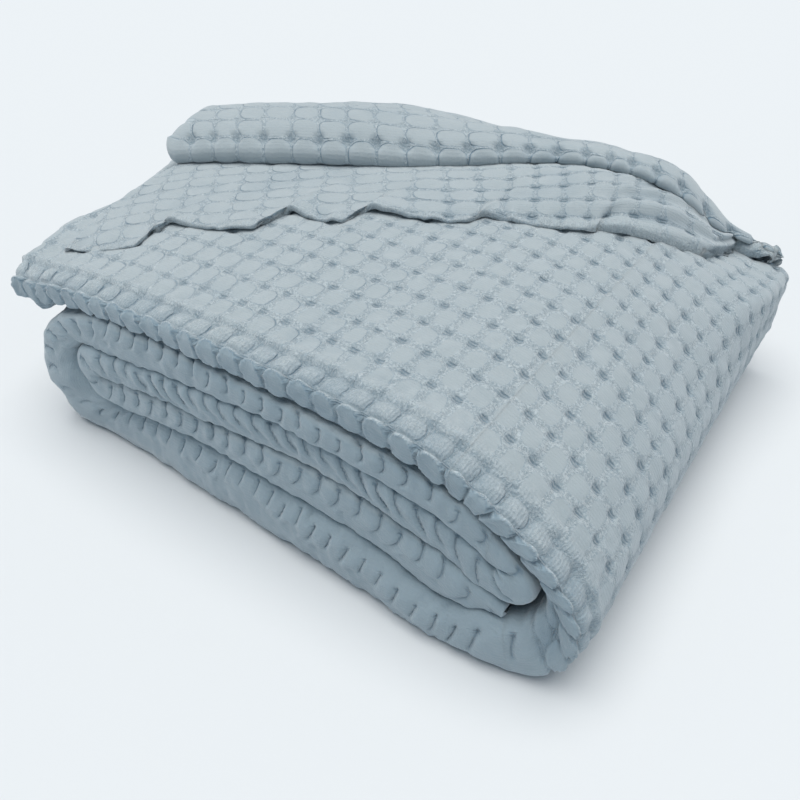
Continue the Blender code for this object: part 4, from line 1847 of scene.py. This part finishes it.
@dataclass(frozen=True)
class WaffleCotton:
    """Soft spun cotton, woven in a coarse waffle weave and washed.

    The loose yarns scatter light evenly, so the cloth looks matt and powdery,
    with a faint pale bloom where its nap is seen edge on. Thin dark seams part the round puffs,
    and parallel yarns show in the hollows between them. The dark of the seams, the hollows,
    the low places of the relief and the gaps between loose tufts is painted shade, and the
    paler tops of the tufts are partly the loose yarn's own colour and partly painted highlight.
    Painted shade also makes the front folds, the rim's discs and the right wrap's lower end darker.
    """

    name: str = "washed waffle weave cotton"
    face: str = "#A3AEB3"
    # Painted shade colour: seams, hollows, low places and gaps between tufts are drawn toward it.
    hollow: str = "#6F8797"
    faded: str = "#ABB5BA"
    # Paler colour of the tufts' tops: partly the loose yarn's own colour, partly painted highlight.
    fluff_and_highlight: str = "#B8C3C8"
    # Painted shade on the front folds, the rim's discs and the right wrap's lower end; depth is its share.
    painted_shade: str = "#7F95A2"
    depth: float = 0.34
    roughness: float = 0.92
    ior: float = 1.45
    sheen: float = 0.30
    sheen_roughness: float = 0.5
    glow: float = 0.5
    glow_depth: float = 0.004
    glow_spread: tuple = (1.0, 1.1, 1.2)
    specular: float = 0.2
    relief: float = 0.0008
    loose_share: float = 0.55
    yarn: float = 0.00105
    coarser: float = 2.0
    nap: float = 0.0007
    tuft: float = 1.0 / 480.0
    patch: float = 1.0 / 28.0
    power: float = 2.8
    hollow_along: float = 0.36
    hollow_across: float = 0.25

    def puffs(self, tree: Tree, cells: Socket, apart: Socket) -> dict:
        """Masks of the round puffs.

        Args:
            tree: Node tree to add to.
            cells: The two cell counts as a vector.
            apart: How far the puffs stand from each other.

        Returns:
            Sockets by name: the disc, its seam and the hollow at the cell's corners.
        """
        # Pulled yarns make every outline a little uneven.
        pull = add_node(tree, "ShaderNodeTexNoise", {"Scale": 2.7, "Detail": 2.0}, {"Vector": cells})
        offset = reckon(tree, "MULTIPLY_ADD", pull.outputs["Fac"], 0.22, -0.11)
        split = add_node(tree, "ShaderNodeSeparateXYZ", {}, {"Vector": cells})
        reach = []
        sides = []
        for axis in ("X", "Y"):
            part = reckon(tree, "FRACT", split.outputs[axis])
            centred = reckon(tree, "MULTIPLY_ADD", part, 2.0, -1.0)
            reach.append(reckon(tree, "ABSOLUTE", centred))
            sides.append(fade(tree, part, 0.30, 0.70))
        powers = [reckon(tree, "POWER", side, self.power) for side in reach]
        out = reckon(tree, "POWER", reckon(tree, "ADD", *powers), 1.0 / self.power)
        out = reckon(tree, "ADD", out, offset)
        out = reckon(tree, "MULTIPLY_ADD", apart, 0.20, out)
        disc = fade(tree, out, 0.84, 0.93)
        gap = reckon(tree, "ABSOLUTE", reckon(tree, "SUBTRACT", out, 0.92))
        seam = fade(tree, gap, 0.0, 0.075)
        whole = add_node(tree, "ShaderNodeVectorMath", {"operation": "FLOOR"}, {0: cells})
        by_cell = {"Vector": whole.outputs[0]}
        chance = add_node(tree, "ShaderNodeTexWhiteNoise", {"noise_dimensions": "2D"}, by_cell)
        turn = add_node(tree, "ShaderNodeTexNoise", {"Scale": 1.3, "Detail": 1.0}, {"Vector": cells})
        part = reckon(tree, "MULTIPLY_ADD", chance.outputs["Value"], 0.60, 0.30)
        shown = reckon(tree, "MULTIPLY", reckon(tree, "MULTIPLY", turn.outputs["Fac"], 2.0), part)
        # Each puff lies over the next like a scale, so the painted shade of its seam falls on two sides only.
        over = reckon(tree, "MULTIPLY_ADD", sides[0], 0.65, 0.08)
        over = reckon(tree, "MULTIPLY_ADD", sides[1], 0.45, over)
        seam = reckon(tree, "MULTIPLY", seam, reckon(tree, "MULTIPLY", shown, over))
        sizes = (self.hollow_along, self.hollow_across)
        near = []
        for side, size in zip(reach, sizes):
            inside = reckon(tree, "SUBTRACT", 1.0, side)
            near.append(reckon(tree, "POWER", reckon(tree, "DIVIDE", inside, size), 4.0))
        corner = reckon(tree, "ADD", near[0], reckon(tree, "ADD", near[1], offset))
        hollow = fade(tree, corner, 0.35, 1.25)
        return {"disc": disc, "seam": seam, "hollow": hollow}

    def creases(self, tree: Tree, cells: Socket) -> dict:
        """Masks of the short creases of the front folds.

        Args:
            tree: Node tree to add to.
            cells: The cell count and the place along the crease as a vector.

        Returns:
            Sockets by name: the crease and the small hollow at its upper end.
        """
        split = add_node(tree, "ShaderNodeSeparateXYZ", {}, {"Vector": cells})
        part = reckon(tree, "FRACT", reckon(tree, "ADD", split.outputs["X"], 0.5))
        gap = reckon(tree, "ABSOLUTE", reckon(tree, "SUBTRACT", part, 0.5))
        lane = split.outputs["Y"]
        within = fade(tree, reckon(tree, "ABSOLUTE", lane), 0.75, 1.10)
        crease = reckon(tree, "MULTIPLY", fade(tree, gap, 0.0, 0.055), within)
        end = fade(tree, reckon(tree, "ABSOLUTE", reckon(tree, "ADD", lane, 0.88)), 0.08, 0.30)
        hollow = reckon(tree, "MULTIPLY", fade(tree, gap, 0.06, 0.15), end)
        return {"seam": crease, "hollow": hollow}

    def masks(self, tree: Tree, cells: Socket, reads: dict) -> dict:
        """Choose between the round puffs and the creases of the front folds.

        Args:
            tree: Node tree to add to.
            cells: The two cell counts as a vector.
            reads: The mesh's marks by name.

        Returns:
            Sockets by name: the disc, its seam, the hollow, and the loose yarn between the discs.
        """
        puffs = self.puffs(tree, cells, reads["apart"])
        short = self.creases(tree, cells)
        made = {"disc": reckon(tree, "MAXIMUM", puffs["disc"], reads["creased"])}
        for title, strength in (("seam", "lined"), ("hollow", "pitted")):
            ends = {0: reads["creased"], 2: puffs[title], 3: short[title]}
            pick = add_node(tree, "ShaderNodeMix", {"data_type": "FLOAT"}, ends)
            made[title] = reckon(tree, "MULTIPLY", pick.outputs[0], reads[strength])
        stands = reckon(tree, "MULTIPLY", reads["loose"], self.loose_share)
        made["loose"] = reckon(tree, "MAXIMUM", reckon(tree, "SUBTRACT", 1.0, made["disc"]), stands)
        return made

    def patterns(self, tree: Tree, cloth: Socket) -> dict:
        """Patterns of the cloth itself.

        Args:
            tree: Node tree to add to.
            cloth: Places on the cloth in metres as a vector.

        Returns:
            Sockets by name: the yarns, the ribs across them, the nap, the tufts and the washing.
        """
        # Real yarns are about 1 mm apart. They are drawn twice as coarse, so that they show.
        bands = {"Scale": WAVE_PERIOD / self.yarn / self.coarser, "Detail": 2.0}
        along = {"bands_direction": "Y", "Distortion": 2.6, "Detail Scale": 1.4}
        across = {"bands_direction": "X", "Distortion": 3.5, "Detail Scale": 1.2}
        # The nap is loose fibre ends, and the tufts are a few of them, about 2 mm across.
        nap = {"Scale": 1.0 / self.nap, "Detail": 3.0, "Roughness": 0.6}
        tufts = {"Scale": 1.0 / self.tuft, "Detail": 2.0, "Roughness": 0.6, "Distortion": 1.6}
        # Uneven washing shows in patches of a few centimetres.
        wash = {"Scale": 1.0 / self.patch, "Detail": 3.0}
        kinds = {
            "yarns": ("ShaderNodeTexWave", {**bands, **along}),
            "ribs": ("ShaderNodeTexWave", {**bands, **across}),
            "nap": ("ShaderNodeTexNoise", nap),
            "tufts": ("ShaderNodeTexNoise", tufts),
            "wash": ("ShaderNodeTexNoise", wash),
        }
        return {
            title: add_node(tree, kind, settings, {"Vector": cloth}).outputs["Fac"]
            for title, (kind, settings) in kinds.items()
        }

    def colour(self, tree: Tree, reads: dict, masks: dict, patterns: dict) -> Socket:
        """Mix the cotton's colour.

        Args:
            tree: Node tree to add to.
            reads: The mesh's marks by name.
            masks: The masks by name.
            patterns: The patterns by name.

        Returns:
            The colour socket.
        """
        tufts = patterns["tufts"]
        hollow = linear(self.hollow)
        blotch = add_node(
            tree, "ShaderNodeMapRange", {"From Min": 0.35, "From Max": 0.70, "To Max": 0.5},
            {"Value": patterns["wash"]},
        )
        colour = blend(tree, blotch.outputs["Result"], linear(self.face), linear(self.faded))
        # Painted shade: where the mark shaded is set, the colour is drawn darker and bluer.
        painted_shade_share = reckon(tree, "MULTIPLY", reads["shaded"], self.depth)
        colour = blend(tree, painted_shade_share, colour, linear(self.painted_shade))
        # Painted highlight on the tops of loose tufts, weaker under painted shade; the paler colour is partly
        # the loose yarn's own.
        unshaded = reckon(tree, "MULTIPLY_ADD", reads["shaded"], -0.75, 1.0)
        tuft_highlight = reckon(tree, "MULTIPLY", masks["loose"], fade(tree, tufts, 0.62, 0.42))
        bright = reckon(tree, "MULTIPLY", tuft_highlight, reckon(tree, "MULTIPLY", unshaded, 0.9))
        colour = blend(tree, bright, colour, linear(self.fluff_and_highlight))
        # Painted shade: gaps between tufts, low places of the relief, hollows and seams are drawn toward the
        # hollow colour.
        stripes = reckon(tree, "MULTIPLY_ADD", patterns["yarns"], -0.50, 0.62)
        shadows = (
            (reckon(tree, "MULTIPLY", masks["loose"], fade(tree, tufts, 0.40, 0.60)), 0.30),
            (reckon(tree, "SUBTRACT", 1.0, reads["raised"]), 0.35),
            (masks["hollow"], stripes),
            (masks["seam"], 0.6),
        )
        for mask, strength in shadows:
            colour = blend(tree, reckon(tree, "MULTIPLY", mask, strength), colour, hollow)
        return colour

    def height(self, tree: Tree, reads: dict, masks: dict, patterns: dict) -> Socket:
        """Add up the fine relief that the mesh doesn't hold.

        Args:
            tree: Node tree to add to.
            reads: The mesh's marks by name.
            masks: The masks by name.
            patterns: The patterns by name.

        Returns:
            The height socket.
        """
        rough = reckon(tree, "MULTIPLY_ADD", masks["loose"], 1.2, 0.55)
        height = reckon(tree, "MULTIPLY", patterns["tufts"], rough)
        height = reckon(tree, "MULTIPLY_ADD", patterns["nap"], 0.25, height)
        in_hollows = reckon(tree, "MULTIPLY_ADD", masks["hollow"], 0.9, 0.12)
        height = reckon(tree, "ADD", height, reckon(tree, "MULTIPLY", patterns["yarns"], in_hollows))
        where_loose = reckon(tree, "MULTIPLY", reads["loose"], 0.40)
        height = reckon(tree, "ADD", height, reckon(tree, "MULTIPLY", patterns["ribs"], where_loose))
        for title, strength in (("disc", 0.35), ("seam", -0.8), ("hollow", -0.7)):
            height = reckon(tree, "MULTIPLY_ADD", masks[title], strength, height)
        return height

    def material(self) -> bpy.types.Material:
        """Build the cotton's node material.

        Returns:
            The material.
        """
        made = bpy.data.materials.new(self.name)
        made.use_nodes = True
        tree = made.node_tree
        shader = tree.nodes["Principled BSDF"]
        shader.inputs["Roughness"].default_value = self.roughness
        shader.inputs["IOR"].default_value = self.ior
        shader.inputs["Specular IOR Level"].default_value = self.specular
        shader.inputs["Sheen Weight"].default_value = self.sheen
        shader.inputs["Sheen Roughness"].default_value = self.sheen_roughness
        shader.inputs["Subsurface Weight"].default_value = self.glow
        shader.inputs["Subsurface Radius"].default_value = self.glow_spread
        shader.inputs["Subsurface Scale"].default_value = self.glow_depth
        cloth = add_node(tree, "ShaderNodeUVMap", {"uv_map": "cloth"}, {}).outputs["UV"]
        cells = add_node(tree, "ShaderNodeUVMap", {"uv_map": "cells"}, {}).outputs["UV"]
        reads = {
            title: add_node(tree, "ShaderNodeAttribute", {"attribute_name": title}, {}).outputs["Fac"]
            for title in ("raised",) + MARKS
        }
        masks = self.masks(tree, cells, reads)
        patterns = self.patterns(tree, cloth)
        height = self.height(tree, reads, masks, patterns)
        settings = {"Strength": 0.9, "Distance": self.relief}
        bump = add_node(tree, "ShaderNodeBump", settings, {"Height": height})
        tree.links.new(self.colour(tree, reads, masks, patterns), shader.inputs["Base Color"])
        tree.links.new(bump.outputs["Normal"], shader.inputs["Normal"])
        return made


def cloth_piece(name: str, skin: Skin, weave: Weave, material: bpy.types.Material) -> bpy.types.Object:
    """Make one piece of cloth from its skin.

    Args:
        name: Name of the piece.
        skin: Grid of points with cloth places and relief.
        weave: Weave whose height scales the relief.
        material: Finish of the piece.

    Returns:
        The new object, linked to the scene.
    """
    rows, cols = skin.points.shape[:2]
    index = np.arange(rows * cols).reshape(rows, cols)
    quads = np.stack([index[:-1, :-1], index[1:, :-1], index[1:, 1:], index[:-1, 1:]], axis=-1).reshape(-1, 4)
    mesh = bpy.data.meshes.new(name)
    mesh.from_pydata(skin.points.reshape(-1, 3).tolist(), [], quads.tolist())
    corners = quads.reshape(-1)
    for title, grid in (("cloth", skin.cloth), ("cells", skin.cells)):
        layer = mesh.uv_layers.new(name=title)
        layer.data.foreach_set("uv", grid.reshape(-1, 2)[corners].astype(np.float32).reshape(-1))
    share = np.clip(skin.relief / weave.height, 0.0, 1.0)
    for title, grid in [("raised", share)] + list(skin.marks.items()):
        layer = mesh.attributes.new(title, "FLOAT", "POINT")
        layer.data.foreach_set("value", grid.reshape(-1).astype(np.float32))
    mesh.polygons.foreach_set("use_smooth", np.ones(len(mesh.polygons), bool))
    mesh.materials.append(material)
    piece = bpy.data.objects.new(name, mesh)
    bpy.context.scene.collection.objects.link(piece)
    return piece


@dataclass
class Studio:
    """Camera, plain pale floor and soft light."""

    camera_at: tuple = (0.3141, -0.4276, 0.3443)
    tilt: float = math.radians(55.3)
    turn: float = math.radians(35.0)
    lens: float = 33.75
    sensor: float = 36.0
    floor_size: float = 14.0
    floor_drop: float = 0.0003
    floor_hex: str = "#D8DCDF"
    air_hex: str = "#D6E5F3"
    air_strength: float = 0.44
    lamp_hex: str = "#FFFBF6"
    lamp_toward: tuple = (0.0, -0.10, 1.0)
    lamp_angle: float = math.radians(60.0)
    lamp_strength: float = 2.95

    def camera(self) -> None:
        """Place the camera at the viewing angle."""
        data = bpy.data.cameras.new("camera")
        data.lens = self.lens
        data.sensor_width = self.sensor
        data.clip_start = 0.01
        eye = bpy.data.objects.new("camera", data)
        eye.location = self.camera_at
        eye.rotation_euler = (self.tilt, 0.0, self.turn)
        bpy.context.scene.collection.objects.link(eye)
        bpy.context.scene.camera = eye

    def floor(self) -> None:
        """Lay the plain pale floor."""
        bpy.ops.mesh.primitive_plane_add(size=self.floor_size, location=(0.0, 0.0, -self.floor_drop))
        floor = bpy.context.object
        floor.name = "floor"
        paint = bpy.data.materials.new("matt white paint")
        paint.use_nodes = True
        shader = paint.node_tree.nodes["Principled BSDF"]
        shader.inputs["Base Color"].default_value = linear(self.floor_hex)
        shader.inputs["Roughness"].default_value = 1.0
        shader.inputs["Specular IOR Level"].default_value = 0.0
        floor.data.materials.append(paint)

    def ceiling(self) -> None:
        """Add one very soft distant lamp, as a large white ceiling lights a studio."""
        data = bpy.data.lights.new("ceiling", "SUN")
        data.angle = self.lamp_angle
        data.energy = self.lamp_strength
        data.color = linear(self.lamp_hex)[:3]
        lamp = bpy.data.objects.new("ceiling", data)
        right, back, up = self.lamp_toward
        lamp.rotation_euler = (math.atan2(math.hypot(right, back), up), 0.0, math.atan2(right, -back))
        bpy.context.scene.collection.objects.link(lamp)

    def air(self) -> None:
        """Fill the studio with pale even light."""
        world = bpy.data.worlds.new("studio air")
        world.use_nodes = True
        background = world.node_tree.nodes["Background"]
        background.inputs["Color"].default_value = linear(self.air_hex)
        background.inputs["Strength"].default_value = self.air_strength
        bpy.context.scene.world = world
        bpy.context.scene.view_settings.view_transform = "Standard"

    def build(self) -> None:
        """Build the whole studio."""
        self.camera()
        self.floor()
        self.air()
        self.ceiling()


class Piece(NamedTuple):
    """One piece of the strips: its name, its strips, its rows and the flat cloth it stands for."""

    name: str
    first: Strip
    last: Strip
    dense: bool
    length: float


PIECES = (
    Piece("innermost_strip", Strip.FIRST, Strip.LEFT_FOLD, False, 0.38),
    Piece("second_strip", Strip.SECOND, Strip.MIDDLE_FOLD, False, 0.36),
    Piece("third_strip", Strip.THIRD, Strip.THIRD, False, 0.32),
    Piece("left_wrap", Strip.LEFT_WRAP, Strip.LEFT_WRAP, False, 0.19),
    Piece("base_strip", Strip.BASE, Strip.BASE, False, 0.34),
    Piece("right_wrap", Strip.RIGHT_WRAP, Strip.RIGHT_WRAP, True, 0.17),
    Piece("top_strip", Strip.TOP, Strip.TOP, True, 0.37),
)
STRIP_CLOTH = 1.60
TURNED_CLOTH = (0.44, 0.42)


def main() -> None:
    """Build the studio and every piece of the blanket, and report them."""
    logging.basicConfig(level=logging.INFO, format="%(message)s")
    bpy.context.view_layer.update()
    Studio().build()
    weave = Weave()
    spiral = Spiral(Pile())
    skins = StripSkins(spiral, weave)
    cotton = WaffleCotton().material()
    bounds = [spiral.start(piece.first) for piece in PIECES] + [spiral.end(Strip.TOP)]
    pieces = []
    for number, piece in enumerate(PIECES):
        steps = max(2, round((bounds[number + 1] - bounds[number]) / PLY.grid))
        along = np.linspace(bounds[number], bounds[number + 1], steps + 1)
        rows = DENSE_ROWS if piece.dense else HIDDEN_ROWS
        skin = skins.build(along, rows, PLY.dense_nose if piece.dense else PLY.plain_nose)
        cloth = cloth_piece(piece.name, skin, weave, cotton)
        pieces.append((cloth, (piece.length, STRIP_CLOTH)))
    turned = cloth_piece("turned_back_roll_and_flap", TurnBack(spiral, weave).build(), weave, cotton)
    pieces.append((turned, TURNED_CLOTH))
    for cloth, flat in pieces:
        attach(cloth, "root")
        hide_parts(NODE)
        LOG.info("%s: %d faces", cloth.name, len(cloth.data.polygons))


if __name__ == "__main__":
    main()
